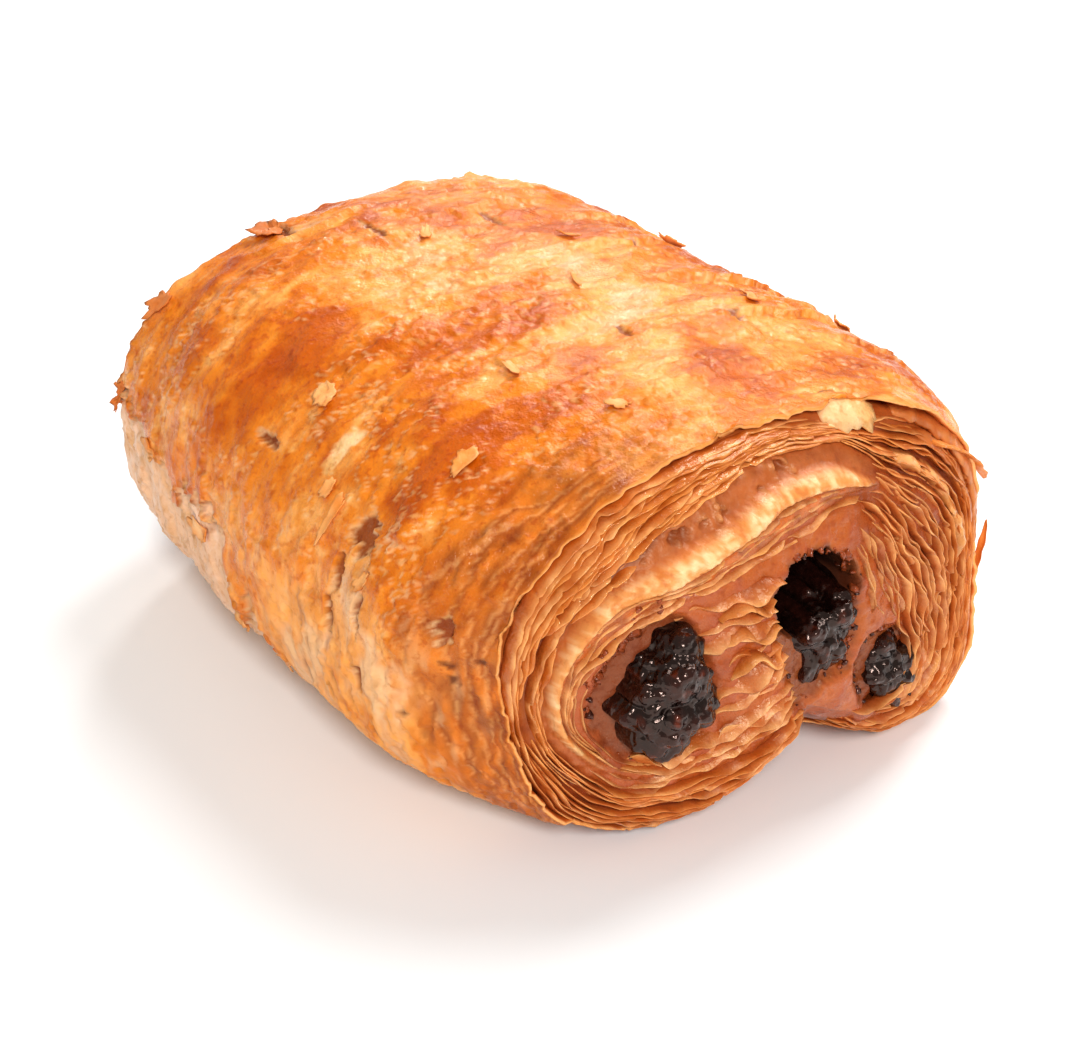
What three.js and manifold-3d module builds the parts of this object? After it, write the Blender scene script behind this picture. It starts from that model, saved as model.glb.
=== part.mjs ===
// Pain au chocolat: laminated dough rolled round three batons of chocolate.
// Millimetres, +Z up. The roll lies along Y, and the end with the open scrolls faces -Y.
// The origin is at the middle of the base.

import * as THREE from 'three';
import { mergeVertices } from 'three/addons/utils/BufferGeometryUtils.js';
import Module from 'manifold-3d';

const HALF_LENGTH = 60;
const CORE_HEIGHT = 25.5;
const CORE_X = -1.23;

// The reach of the section from its core, from the near end of the roll (0) to the far end (1).
const STATIONS = [0, 0.08, 0.28, 0.5, 0.72, 0.92, 1];
const LEFT_REACH = [33.8, 35.3, 45.8, 46.1, 45.4, 41.9, 40.2];
const RIGHT_REACH = [40.2, 41.7, 49, 45.1, 44, 41.8, 40.3];
const RISE = [28.9, 30.4, 32.1, 31.5, 31.4, 27.5, 25.8];
const TOP_SQUARENESS = 2.44;
const LEFT_BASE_SQUARENESS = 2.7;
const RIGHT_BASE_SQUARENESS = 6;
// The lobes reach below the base, and are cut flat there, where they rest.
const BASE_DEPTH = 26.6;
const BASE_CUT = 1.5;
const WIDEST_RADIUS = 80;
const BISECTIONS = 26;

// The underside bends up between the two lobes of the roll.
const ARCH_X = 7.6;
const ARCH_HEIGHT = 10.5;
const ARCH_HALF_WIDTH = 21;
const ARCH_POWER = 1.2;
const ARCH_BLEND = 2.5;
const SECTION_SCALE = 30;

// Each end is a dome, and its edge steps back by these depths, in degrees round the core.
const RECESS_ANGLES = [0, 45, 90, 140, 170, 205, 250, 310, 360];
const NEAR_RECESS = [11.5, 12.5, 13.5, 14.5, 16, 11, 10.5, 10.5, 11.5];
const FAR_RECESS = [11, 12, 12.5, 12, 11.5, 11, 10.5, 10.5, 11];
const DOME_POWER = 3;

// Where the wrapped layers give way to the core, as a share of the outline's radius.
const CORE_ANGLES = [0, 30, 55, 75, 104, 126, 141, 156, 170, 185, 200, 212, 230, 255, 280, 300, 322, 342, 360];
const CORE_SHARE = [
  0.56, 0.54, 0.64, 0.61, 0.57, 0.61, 0.67, 0.76, 0.85, 0.86, 0.72, 0.56, 0.44, 0.4, 0.42, 0.5, 0.8, 0.7, 0.56,
];

// Rows of the end face from the crust (0) to the core (1), with the height of each in millimetres.
const LAYER_ROWS = [
  [0.05, -1.2],
  [0.11, 0.5],
  [0.16, -0.5],
  [0.21, 0.6],
  [0.26, -0.5],
  [0.31, 0.5],
  [0.37, -0.5],
  [0.43, 0.4],
  [0.49, -0.8],
  [0.58, -0.8],
  [0.63, 0.8],
  [0.72, 0.9],
  [0.77, -0.3],
  [0.84, 0.6],
  [0.9, -0.3],
  [1, -0.2],
];
const CORE_ROWS = [0.75, 0.5, 0.25];
const CORE_CENTRE_LIFT = 0.4;
const LAYER_WOBBLE = 0.3;
const SCROLL_DISH = 1.8;
const SCROLL_DISH_RADIUS = 13;

// The crust ends in a ragged lip, and at the upper right it stands off the layers under it.
const LIP_REACH = 1.6;
const LIP_JAG = 0.8;
const LIP_GAP_DEPTH = 3.4;
const LIP_GAP_ANGLE = 62;
const LIP_GAP_SPREAD = 34;

const COLUMNS = 80;
const CRUST_ROWS = 17;
const CRUST_SWELL = 0.5;

// Chocolate batons: outlines round their own middle, with all angles in degrees.
const BATON_CLEARANCE = 0.3;
const BATON_SIDES = 28;
const LEFT_BATON = {
  x: -20.4,
  z: 27.4,
  angles: [0, 37, 72, 90, 115, 153, 186, 219, 252, 288, 314, 360],
  radii: [7.5, 7, 10.3, 10.8, 8, 6.9, 7.7, 8.8, 9.8, 9, 8.3, 7.5],
  nearTip: -60.6,
  farTip: 60.6,
};
const MIDDLE_BATON = {
  x: 3.6,
  z: 28.2,
  angles: [0, 39, 53, 109, 147, 185, 224, 257, 280, 310, 329, 360],
  radii: [6, 7.2, 8.2, 7.6, 8.6, 6.4, 6.2, 10.2, 6.6, 7.6, 6.6, 6],
  nearTip: -60.2,
  farTip: 59.4,
};
const RIGHT_BATON = {
  x: 16.6,
  z: 17.7,
  angles: [0, 35, 101, 127, 155, 204, 260, 305, 339, 360],
  radii: [5.8, 5.2, 7.5, 7.9, 6.4, 4.7, 5.5, 9.2, 7.4, 5.8],
  nearTip: -59.4,
  farTip: 58.8,
};
const BATON_ROUNDING = 3;
const BATON_ROWS = 4;
const BATON_LUMP = 0.09;

// An empty pocket above the middle baton, where the chocolate has melted away.
const POCKET = {
  x: 1.4,
  z: 34.6,
  angles: [0, 45, 90, 135, 180, 270, 360],
  radii: [7.2, 7.4, 6.8, 7, 5.8, 5, 7.2],
};
const NEAR_POCKET_FLOOR = -45;
const FAR_POCKET_FLOOR = 53;
const CUT_OVERSHOOT = 70;

// Loose blades of dough: the line each follows, its width along the roll and its thickness.
const BLADE_STEPS = 6;
const BLADES = [
  { path: [[29.8, -48, 46.2], [37.8, -47.5, 42.3], [44.3, -46, 34]], width: 6, thick: 1.3 },
  { path: [[35.3, -47, 7.5], [45, -48.5, 16], [43.9, -48.8, 27]], width: 3.6, thick: 1.1 },
  { path: [[-15.2, -57.6, 33.4], [-9.6, -58.7, 35.4], [-3.8, -58.9, 34.2]], width: 3.4, thick: 1 },
  { path: [[-16.2, -57, 37.2], [-10.6, -57.8, 39.2], [-3.8, -58, 39.2]], width: 3, thick: 1 },
  { path: [[-14.8, -58.6, 20], [-10.2, -59.6, 24], [-2.8, -59.6, 27.4]], width: 3, thick: 1 },
  { path: [[-13, -59, 26], [-8.2, -59.7, 29.4], [-3.4, -59.6, 30.8]], width: 3, thick: 0.9 },
];

const CRUST_MATERIAL = new THREE.MeshStandardMaterial({ color: 0xe68a3a, roughness: 0.45, metalness: 0 });
const CHOCOLATE_MATERIAL = new THREE.MeshStandardMaterial({ color: 0x2c1512, roughness: 0.3, metalness: 0 });

const clamp = (value) => Math.min(1, Math.max(0, value));

// A curve through the values that never overshoots them.
function through(knots, values, at) {
  const slopes = values.map((value, i) => {
    if (i === 0) return (values[1] - value) / (knots[1] - knots[0]);
    const before = (value - values[i - 1]) / (knots[i] - knots[i - 1]);
    if (i === values.length - 1) return before;
    const after = (values[i + 1] - value) / (knots[i + 1] - knots[i]);
    return before * after > 0 ? (2 * before * after) / (before + after) : 0;
  });
  let i = 0;
  while (i < knots.length - 2 && at >= knots[i + 1]) i += 1;
  const step = knots[i + 1] - knots[i];
  const u = clamp((at - knots[i]) / step);
  const rest = (1 - u) * (1 - u);
  const start = (1 + 2 * u) * rest * values[i] + u * rest * step * slopes[i];
  const end = u * u * (3 - 2 * u) * values[i + 1] - u * u * (1 - u) * step * slopes[i + 1];
  return start + end;
}

const aroundCore = (angles, values, angle) => {
  const degrees = THREE.MathUtils.euclideanModulo(THREE.MathUtils.radToDeg(angle), 360);
  return through(angles, values, degrees);
};

function blend(a, b, width) {
  const h = clamp(0.5 + (0.5 * (a - b)) / width);
  return b + (a - b) * h + width * h * (1 - h);
}

// The radius of the smooth section at an angle round the core.
function sectionRadius(angle, y) {
  const station = (y / HALF_LENGTH + 1) / 2;
  const across = Math.cos(angle);
  const up = Math.sin(angle);
  const reach = through(STATIONS, across < 0 ? LEFT_REACH : RIGHT_REACH, station);
  const rise = up > 0 ? through(STATIONS, RISE, station) : BASE_DEPTH;
  const basePower = across < 0 ? LEFT_BASE_SQUARENESS : RIGHT_BASE_SQUARENESS;
  const power = up > 0 ? TOP_SQUARENESS : basePower;
  const oval = (Math.abs(across / reach) ** power + Math.abs(up / rise) ** power) ** (1 / power);
  let inside = 0;
  let outside = WIDEST_RADIUS;
  for (let i = 0; i < BISECTIONS; i += 1) {
    const radius = (inside + outside) / 2;
    const fromArch = Math.abs(CORE_X + radius * across - ARCH_X) / ARCH_HALF_WIDTH;
    const arch = ARCH_HEIGHT * clamp(1 - fromArch) ** ARCH_POWER;
    const under = arch - BASE_CUT - CORE_HEIGHT - radius * up;
    const past = blend((radius * oval - 1) * SECTION_SCALE, under, ARCH_BLEND);
    if (past < 0) inside = radius;
    else outside = radius;
  }
  return inside;
}

// Long low swells of the baked crust, in millimetres.
function crustSwell(angle, y) {
  const first = Math.sin(2 * angle + 0.085 * y + 0.6) * Math.cos(0.06 * y - 1.3 * Math.sin(angle));
  const second = 0.6 * Math.sin(5.2 * Math.cos(angle) - 0.14 * y) * Math.sin(0.11 * y + 2);
  const third = 0.5 * Math.sin(6.3 * Math.sin(angle) + 0.21 * y + 1);
  const onTop = clamp(0.8 + 0.8 * Math.sin(angle));
  return CRUST_SWELL * onTop * (first + second + third);
}

const wobble = (angle, seed) =>
  0.5 * Math.sin(5 * angle + 2.3 * seed) + 0.3 * Math.sin(11 * angle - 1.7 * seed) +
  0.2 * Math.sin(19 * angle + 3.1 * seed);

// One end of the roll. The side is -1 for the near end and 1 for the far end.
function makeEnd(side, recess, seed) {
  const recessAt = (angle) => aroundCore(RECESS_ANGLES, recess, angle);
  const edgeY = (angle) => side * (HALF_LENGTH - recessAt(angle));
  const lipAt = (angle) => LIP_REACH + LIP_JAG * wobble(angle, seed + 4);
  const gapAt = (angle) => {
    const away = (THREE.MathUtils.radToDeg(angle) - LIP_GAP_ANGLE) / LIP_GAP_SPREAD;
    return LIP_GAP_DEPTH * Math.exp(-away * away);
  };
  const dish = (x, z) => {
    const away = Math.hypot(x - LEFT_BATON.x, z - LEFT_BATON.z) / SCROLL_DISH_RADIUS;
    return SCROLL_DISH * Math.exp(-(away ** 4));
  };
  const point = (angle, share, height) => {
    const radius = share * sectionRadius(angle, edgeY(angle));
    const x = CORE_X + radius * Math.cos(angle);
    const z = CORE_HEIGHT + radius * Math.sin(angle);
    const dome = HALF_LENGTH - recessAt(angle) * share ** DOME_POWER;
    return [x, side * (dome + height - dish(x, z)), z];
  };
  const lip = (angle) => {
    const radius = sectionRadius(angle, edgeY(angle)) + crustSwell(angle, edgeY(angle));
    const y = edgeY(angle) + side * lipAt(angle);
    return [CORE_X + radius * Math.cos(angle), y, CORE_HEIGHT + radius * Math.sin(angle)];
  };
  const layerRow = ([along, height], row) => (angle) => {
    const core = aroundCore(CORE_ANGLES, CORE_SHARE, angle);
    const ragged = LAYER_WOBBLE * wobble(angle, seed + row);
    const gap = along < LAYER_ROWS[1][0] ? gapAt(angle) : 0;
    return point(angle, 1 - along * (1 - core), height + ragged - gap);
  };
  const coreRow = (along) => (angle) => point(angle, along * aroundCore(CORE_ANGLES, CORE_SHARE, angle), 0);
  const rows = [lip, ...LAYER_ROWS.map(layerRow), ...CORE_ROWS.map(coreRow)];
  const middle = point(0, 0, CORE_CENTRE_LIFT);
  return { rows, middle, edgeY };
}

function crustRow(near, far, along) {
  return (angle) => {
    const y = THREE.MathUtils.lerp(near.edgeY(angle), far.edgeY(angle), along);
    const radius = sectionRadius(angle, y) + crustSwell(angle, y);
    return [CORE_X + radius * Math.cos(angle), y, CORE_HEIGHT + radius * Math.sin(angle)];
  };
}

// A closed skin over rings of points, with one point at each end.
function ringSkin(rings, first, last) {
  const columns = rings[0].length;
  const points = [...rings.flat(), first, last];
  const firstIndex = points.length - 2;
  const lastIndex = points.length - 1;
  const top = (rings.length - 1) * columns;
  const faces = [];
  for (let j = 0; j < columns; j += 1) {
    const k = (j + 1) % columns;
    faces.push(firstIndex, j, k);
    faces.push(lastIndex, top + k, top + j);
    for (let i = 0; i < rings.length - 1; i += 1) {
      const a = i * columns;
      const b = a + columns;
      faces.push(a + j, b + j, b + k);
      faces.push(a + j, b + k, a + k);
    }
  }
  const geometry = new THREE.BufferGeometry();
  geometry.setAttribute('position', new THREE.Float32BufferAttribute(points.flat(), 3));
  geometry.setIndex(faces);
  return geometry;
}

function pastryBody() {
  const near = makeEnd(-1, NEAR_RECESS, 1);
  const far = makeEnd(1, FAR_RECESS, 9);
  const crust = [];
  for (let i = 0; i < CRUST_ROWS; i += 1) crust.push(crustRow(near, far, (i + 0.5) / CRUST_ROWS));
  const rows = [...near.rows.toReversed(), ...crust, ...far.rows];
  const rings = rows.map((row) => {
    const ring = [];
    for (let j = 0; j < COLUMNS; j += 1) {
      const [x, y, z] = row((2 * Math.PI * j) / COLUMNS);
      ring.push([x, y, Math.max(0, z)]);
    }
    return ring;
  });
  return ringSkin(rings, near.middle, far.middle);
}

// A ring round the middle of an outline, in the XZ plane.
function outlineRing(outline, y, scale, margin) {
  const ring = [];
  for (let j = 0; j < BATON_SIDES; j += 1) {
    const angle = (2 * Math.PI * j) / BATON_SIDES;
    const radius = scale(angle) * aroundCore(outline.angles, outline.radii, angle) + margin;
    ring.push([outline.x + radius * Math.cos(angle), y, outline.z + radius * Math.sin(angle)]);
  }
  return ring;
}

const shaft = (outline, start, end, margin) => {
  const plain = () => 1;
  const rings = [outlineRing(outline, start, plain, margin), outlineRing(outline, end, plain, margin)];
  return ringSkin(rings, [outline.x, start, outline.z], [outline.x, end, outline.z]);
};

// A baton with rounded, lumpy ends.
function batonGeometry(baton) {
  const rings = [];
  const endRings = (tip, side) => {
    const list = [];
    for (let i = 0; i < BATON_ROWS; i += 1) {
      const turn = (Math.PI / 2) * ((i + 1) / BATON_ROWS);
      const y = tip - side * BATON_ROUNDING * (1 - Math.cos(turn));
      const lumps = (angle) => Math.sin(turn) * (1 - BATON_LUMP * (1 + wobble(angle, baton.x + 2 * i)));
      list.push(outlineRing(baton, y, lumps, 0));
    }
    return list;
  };
  rings.push(...endRings(baton.nearTip, -1), ...endRings(baton.farTip, 1).toReversed());
  return ringSkin(rings, [baton.x, baton.nearTip, baton.z], [baton.x, baton.farTip, baton.z]);
}

// A thin blade that narrows to a point along its path.
function bladeGeometry({ path, width, thick }) {
  const curve = new THREE.QuadraticBezierCurve3(...path.map((p) => new THREE.Vector3(...p)));
  const side = new THREE.Vector3(0, 1, 0);
  const rings = [];
  for (let i = 0; i < BLADE_STEPS; i += 1) {
    const t = i / BLADE_STEPS;
    const middle = curve.getPoint(t);
    const flat = new THREE.Vector3().crossVectors(side, curve.getTangent(t)).normalize();
    const taper = Math.sqrt(1 - t);
    const corner = (a, b) => {
      const p = middle.clone().addScaledVector(side, a * width * taper * 0.5);
      return p.addScaledVector(flat, b * thick * taper * 0.5).toArray();
    };
    rings.push([corner(-1, -1), corner(1, -1), corner(1, 1), corner(-1, 1)]);
  }
  return ringSkin(rings, curve.getPoint(0).toArray(), curve.getPoint(1).toArray());
}

const wasm = await Module();
wasm.setup();

function toSolid(geometry) {
  const merged = mergeVertices(geometry, 1e-4);
  const vertProperties = merged.attributes.position.array;
  const triVerts = new Uint32Array(merged.index.array);
  const solid = new wasm.Manifold(new wasm.Mesh({ numProp: 3, vertProperties, triVerts }));
  return solid;
}

function toGeometry(solid) {
  const mesh = solid.getMesh();
  const geometry = new THREE.BufferGeometry();
  geometry.setAttribute('position', new THREE.Float32BufferAttribute(mesh.vertProperties, 3));
  geometry.setIndex([...mesh.triVerts]);
  geometry.computeVertexNormals();
  return geometry;
}

// The main body, with loose scraps dropped and sealed bubbles filled.
function withoutScraps(solid) {
  const bodies = solid.decompose();
  return bodies.reduce((best, body) => (body.volume() > best.volume() ? body : best));
}

function pastryGeometry() {
  let solid = toSolid(pastryBody());
  for (const blade of BLADES) solid = solid.add(toSolid(bladeGeometry(blade)));
  solid = withoutScraps(solid);
  const cuts = [LEFT_BATON, MIDDLE_BATON, RIGHT_BATON].map((baton) =>
    shaft(baton, -CUT_OVERSHOOT, CUT_OVERSHOOT, BATON_CLEARANCE));
  cuts.push(shaft(POCKET, -CUT_OVERSHOOT, NEAR_POCKET_FLOOR, 0));
  cuts.push(shaft(POCKET, FAR_POCKET_FLOOR, CUT_OVERSHOOT, 0));
  for (const cut of cuts) solid = solid.subtract(toSolid(cut));
  return toGeometry(withoutScraps(solid));
}

function namedMesh(name, geometry, material) {
  const mesh = new THREE.Mesh(geometry, material);
  mesh.name = name;
  return mesh;
}

const painAuChocolat = new THREE.Group();
painAuChocolat.add(
  namedMesh('pastry', pastryGeometry(), CRUST_MATERIAL),
  namedMesh('chocolate_left', batonGeometry(LEFT_BATON), CHOCOLATE_MATERIAL),
  namedMesh('chocolate_middle', batonGeometry(MIDDLE_BATON), CHOCOLATE_MATERIAL),
  namedMesh('chocolate_right', batonGeometry(RIGHT_BATON), CHOCOLATE_MATERIAL),
);

export default painAuChocolat;
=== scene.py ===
import math

import bpy
import numpy as np
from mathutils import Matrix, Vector


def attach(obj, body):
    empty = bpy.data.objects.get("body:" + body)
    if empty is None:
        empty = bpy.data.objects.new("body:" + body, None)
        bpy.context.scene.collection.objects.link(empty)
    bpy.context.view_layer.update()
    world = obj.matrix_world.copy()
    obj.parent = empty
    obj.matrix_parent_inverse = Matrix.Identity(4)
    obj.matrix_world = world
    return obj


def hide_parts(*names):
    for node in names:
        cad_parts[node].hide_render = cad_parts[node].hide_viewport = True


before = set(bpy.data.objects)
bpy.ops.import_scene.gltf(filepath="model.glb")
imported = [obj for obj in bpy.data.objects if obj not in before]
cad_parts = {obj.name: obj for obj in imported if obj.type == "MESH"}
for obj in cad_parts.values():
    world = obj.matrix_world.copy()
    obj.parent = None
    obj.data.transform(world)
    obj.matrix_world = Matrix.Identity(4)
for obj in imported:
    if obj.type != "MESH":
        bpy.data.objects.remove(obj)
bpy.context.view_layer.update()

# Pain au chocolat: laminated dough rolled round three batons of chocolate.
# The form is worked out in millimetres, +Z up, with the roll along Y and the open scrolls at -Y.

MM = 0.001
SEED = 11

# The form of the roll, the same as the solid's.
HALF_LENGTH = 60
CORE_HEIGHT = 25.5
CORE_X = -1.23
STATIONS = [0, 0.08, 0.28, 0.5, 0.72, 0.92, 1]
LEFT_REACH = [33.8, 35.3, 45.8, 46.1, 45.4, 41.9, 40.2]
RIGHT_REACH = [40.2, 41.7, 49, 45.1, 44, 41.8, 40.3]
RISE = [28.9, 30.4, 32.1, 31.5, 31.4, 27.5, 25.8]
TOP_SQUARENESS = 2.44
LEFT_BASE_SQUARENESS = 2.7
RIGHT_BASE_SQUARENESS = 6
BASE_DEPTH = 26.6
BASE_CUT = 1.5
WIDEST_RADIUS = 80
BISECTIONS = 24
ARCH_X = 7.6
ARCH_HEIGHT = 10.5
ARCH_HALF_WIDTH = 21
ARCH_POWER = 1.2
ARCH_BLEND = 2.5
SECTION_SCALE = 30
RECESS_ANGLES = [0, 45, 90, 140, 170, 205, 250, 310, 360]
NEAR_RECESS = [11.5, 12.5, 13.5, 14.5, 16, 11, 10.5, 10.5, 11.5]
FAR_RECESS = [11, 12, 12.5, 12, 11.5, 11, 10.5, 10.5, 11]
DOME_POWER = 3
CRUST_SWELL = 0.5
SCROLL_DISH = 1.8
SCROLL_DISH_RADIUS = 13

# Where the crust steps down in ragged layers towards the open end, on the left: millimetres from the edge.
EDGE_LAYERS = [0.9, 2.0, 3.4, 5.2, 8.0]
EDGE_LAYER_STEP = 0.15

# Where the bands of the end face meet, as shares of the outline's radius, by degrees round the core.
# From the crust in: thin layers, a smooth brown band, a pale puffy band, and a smooth grey sheet.
THIN_ANGLES = [
    -64, -45, -26, -13, 13, 37, 52, 65, 88, 108, 124, 135, 146,
    157, 167, 179, 188, 197, 211, 220, 230, 245, 262, 285, 300,
]
THIN_INNER = [
    .66, .72, .74, .77, .77, .76, .82, .89, .90, .87, .83, .81, .83,
    .85, .87, .90, .89, .84, .73, .60, .52, .46, .42, .44, .5,
]
PUFF_ANGLES = [40, 53, 69, 86, 101, 114, 127, 138, 148, 159, 171, 182, 192, 205]
PUFF_OUTER = [.72, .755, .82, .81, .77, .745, .76, .79, .83, .84, .86, .87, .82, .72]
PUFF_INNER = [.71, .735, .74, .73, .68, .665, .66, .70, .77, .80, .83, .84, .79, .70]
SHEET_INNER = [.66, .70, .65, .60, .575, .57, .59, .62, .66, .71, .78, .82, .76, .66]
RIGHT_ANGLES = [-60, -45, -28, -14, 2, 28, 49, 62]
RIGHT_MIDDLE = [.52, .56, .6, .65, .62, .58, .70, .72]
RIGHT_INNER = [.42, .45, .5, .52, .45, .47, .58, .64]

# Lines of the fan of layers between the left baton and the pocket, as x and z.
FAN_LINES = [
    [(-26.5, 15.5), (-19.5, 13.5), (-12, 14.5), (-5, 17.5), (-1.2, 19.2)],
    [(-25.5, 17.0), (-18.5, 16.2), (-10.5, 17.8), (-4, 20.8), (-0.9, 22.2)],
    [(-14.7, 20.3), (-10.2, 22.6), (-5.6, 25.2), (-2.6, 27.2)],
    [(-13.2, 26.2), (-8.7, 29.2), (-4.9, 30.6), (-3.6, 31.2)],
    [(-15.0, 31.4), (-10, 34), (-6.1, 33.7), (-4.4, 34.0)],
    [(-16.2, 35.2), (-11.2, 37), (-6.9, 37.3), (-4.6, 37.6)],
    [(-18.2, 38.2), (-12.8, 40.0), (-7.0, 41.0), (-1.9, 41.9)],
]
FAN_COUNTS = [3, 3, 3, 2, 2, 2]
# Flaps that curl out beside the pocket.
FLAPS = [
    [(-12.5, 36.6), (-9.0, 38.6), (-6.2, 36.6), (-4.4, 37.6)],
    [(-12.6, 32.0), (-9.4, 34.4), (-6.6, 32.8), (-3.8, 33.6)],
    [(-10.4, 27.0), (-7.4, 30.0), (-5.0, 28.6), (-3.0, 30.2)],
]

LEFT_BATON = {
    "node": "chocolate_left",
    "x": -20.4,
    "z": 27.4,
    "angles": [0, 37, 72, 90, 115, 153, 186, 219, 252, 288, 314, 360],
    "radii": [7.5, 7, 10.3, 10.8, 8, 6.9, 7.7, 8.8, 9.8, 9, 8.3, 7.5],
    "near_tip": -60.6,
    "far_tip": 60.6,
    "slump": (1.7, -0.5, -0.7),
}
MIDDLE_BATON = {
    "node": "chocolate_middle",
    "x": 3.6,
    "z": 28.2,
    "angles": [0, 39, 53, 109, 147, 185, 224, 257, 280, 310, 329, 360],
    "radii": [6, 7.2, 8.2, 7.6, 8.6, 6.4, 6.2, 10.2, 6.6, 7.6, 6.6, 6],
    "near_tip": -60.2,
    "far_tip": 59.4,
    "slump": (1.1, 0.7, -0.2),
}
RIGHT_BATON = {
    "node": "chocolate_right",
    "x": 16.6,
    "z": 17.7,
    "angles": [0, 35, 101, 127, 155, 204, 260, 305, 339, 360],
    "radii": [5.8, 5.2, 7.5, 7.9, 6.4, 4.7, 5.5, 9.2, 7.4, 5.8],
    "near_tip": -59.4,
    "far_tip": 58.8,
    "slump": (0.7, 0, 0.2),
}
BATONS = [LEFT_BATON, MIDDLE_BATON, RIGHT_BATON]
POCKET = {
    "x": 2.2,
    "z": 34.2,
    "angles": [0, 45, 90, 135, 180, 270, 360],
    "radii": [7.2, 7.4, 6.8, 7, 5.8, 5, 7.2],
}
POCKET_DEPTH = {-1: 13.5, 1: 6}


def srgb(red, green, blue):
    """A colour in linear light, from screen values of 0 to 255."""
    values = np.array([red, green, blue]) / 255
    return np.where(values <= 0.04045, values / 12.92, ((values + 0.055) / 1.055) ** 2.4)


CREAM = srgb(252, 206, 148)
PALE_DOUGH = srgb(230, 166, 114)
GOLD = srgb(244, 160, 76)
AMBER = srgb(230, 126, 28)
DARK_AMBER = srgb(196, 88, 10)
BROWN = srgb(130, 54, 18)
# Painted shade: the dark of the gaps, grooves and recesses between the layers.
GAP_SHADE = srgb(100, 36, 12)
GROOVE_SHADE = srgb(150, 64, 24)
UNDER_LIP = srgb(190, 96, 36)
BAND_BROWN = srgb(180, 92, 40)
PUFF = srgb(226, 146, 76)
SHEET_GREY = srgb(172, 92, 52)
EYE_WALL = srgb(172, 80, 46)
CORE_DOUGH = srgb(182, 88, 34)
UNDER_SKIN = srgb(236, 184, 142)
LAYER_FACE = srgb(206, 104, 40)
# The pale edges of the layers and rims: partly the dough's own colour, partly a painted highlight.
LAYER_EDGE_HIGHLIGHT = srgb(246, 176, 106)
# Painted shade: near black for the open pocket in the end faces.
POCKET_SHADE = srgb(30, 10, 8)
FLAKE_PALE = srgb(242, 178, 112)
# Painted shade for the crevices between the lumps of chocolate.
CHOCOLATE_CREVICE_SHADE = srgb(12, 4, 3)
CHOCOLATE_LIGHT = srgb(46, 16, 10)
CHOCOLATE_RED = srgb(150, 56, 22)
CRUMB_RED = srgb(150, 66, 30)
CRUMB_DARK = srgb(70, 28, 16)


# Curves and noise.

def through(knots, values, at):
    """A curve through the values that never overshoots them."""
    knots = np.asarray(knots, float)
    values = np.asarray(values, float)
    step = np.diff(knots)
    rise = np.diff(values) / step
    slopes = np.zeros_like(values)
    slopes[0] = rise[0]
    slopes[-1] = rise[-1]
    same = rise[:-1] * rise[1:] > 0
    total = np.where(same, rise[:-1] + rise[1:], 1)
    slopes[1:-1] = np.where(same, 2 * rise[:-1] * rise[1:] / total, 0)
    i = np.clip(np.searchsorted(knots, at, side="right") - 1, 0, len(knots) - 2)
    u = np.clip((at - knots[i]) / step[i], 0, 1)
    rest = (1 - u) ** 2
    start = (1 + 2 * u) * rest * values[i] + u * rest * step[i] * slopes[i]
    return start + u * u * (3 - 2 * u) * values[i + 1] - u * u * (1 - u) * step[i] * slopes[i + 1]


def around(angles, values, angle):
    return through(angles, values, np.degrees(angle) % 360)


def ramp(low, high, at):
    """Rises smoothly from 0 at low to 1 at high."""
    u = np.clip((at - low) / (high - low), 0, 1)
    return u * u * (3 - 2 * u)


def mix(a, b, share):
    share = np.asarray(share)[..., None]
    return a * (1 - share) + b * share


def lattice(cell, seed):
    """A repeatable random number from 0 to 1 for each cell."""
    mask = 0xFFFFFFFF
    h = (cell[..., 0] * 374761393 + cell[..., 1] * 668265263 + cell[..., 2] * 1440662683) & mask
    h = (h + seed * 974634777) & mask
    h = ((h ^ (h >> 13)) * 1274126177) & mask
    h = ((h ^ (h >> 16)) * 2246822519) & mask
    return ((h ^ (h >> 15)) & 0xFFFFFF) / 0xFFFFFF


def noise(points, size, seed=0):
    """Smooth noise from about -1 to 1, with features of the given size."""
    scaled = np.asarray(points, float) / size
    cell = np.floor(scaled).astype(np.int64)
    inside = scaled - cell
    weight = inside ** 3 * (inside * (inside * 6 - 15) + 10)
    total = 0
    for corner in range(8):
        bits = np.array([corner & 1, corner >> 1 & 1, corner >> 2 & 1])
        share = np.prod(np.where(bits, weight, 1 - weight), axis=-1)
        away = inside - bits
        slope = sum((lattice(cell + bits, seed * 3 + k) * 2 - 1) * away[..., k] for k in range(3))
        total = total + share * slope
    return total * 1.6


def fractal(points, size, octaves, seed=0):
    total = 0
    for k in range(octaves):
        total = total + noise(points, size / 2 ** k, seed + 17 * k) / 2 ** k
    return total


def crumbs(points, size, seed=0):
    """The distance to the nearest of scattered centres, as a share of the size."""
    scaled = np.asarray(points, float) / size
    cell = np.floor(scaled).astype(np.int64)
    nearest = np.full(scaled.shape[:-1], 9.0)
    for n in range(27):
        near = cell + np.array([n % 3 - 1, n // 3 % 3 - 1, n // 9 - 1])
        centre = near + np.stack([lattice(near, seed + k) for k in range(3)], -1)
        nearest = np.minimum(nearest, np.linalg.norm(scaled - centre, axis=-1))
    return nearest


# The form of the roll.

def blend(a, b, width):
    h = np.clip(0.5 + 0.5 * (a - b) / width, 0, 1)
    return b + (a - b) * h + width * h * (1 - h)


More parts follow.
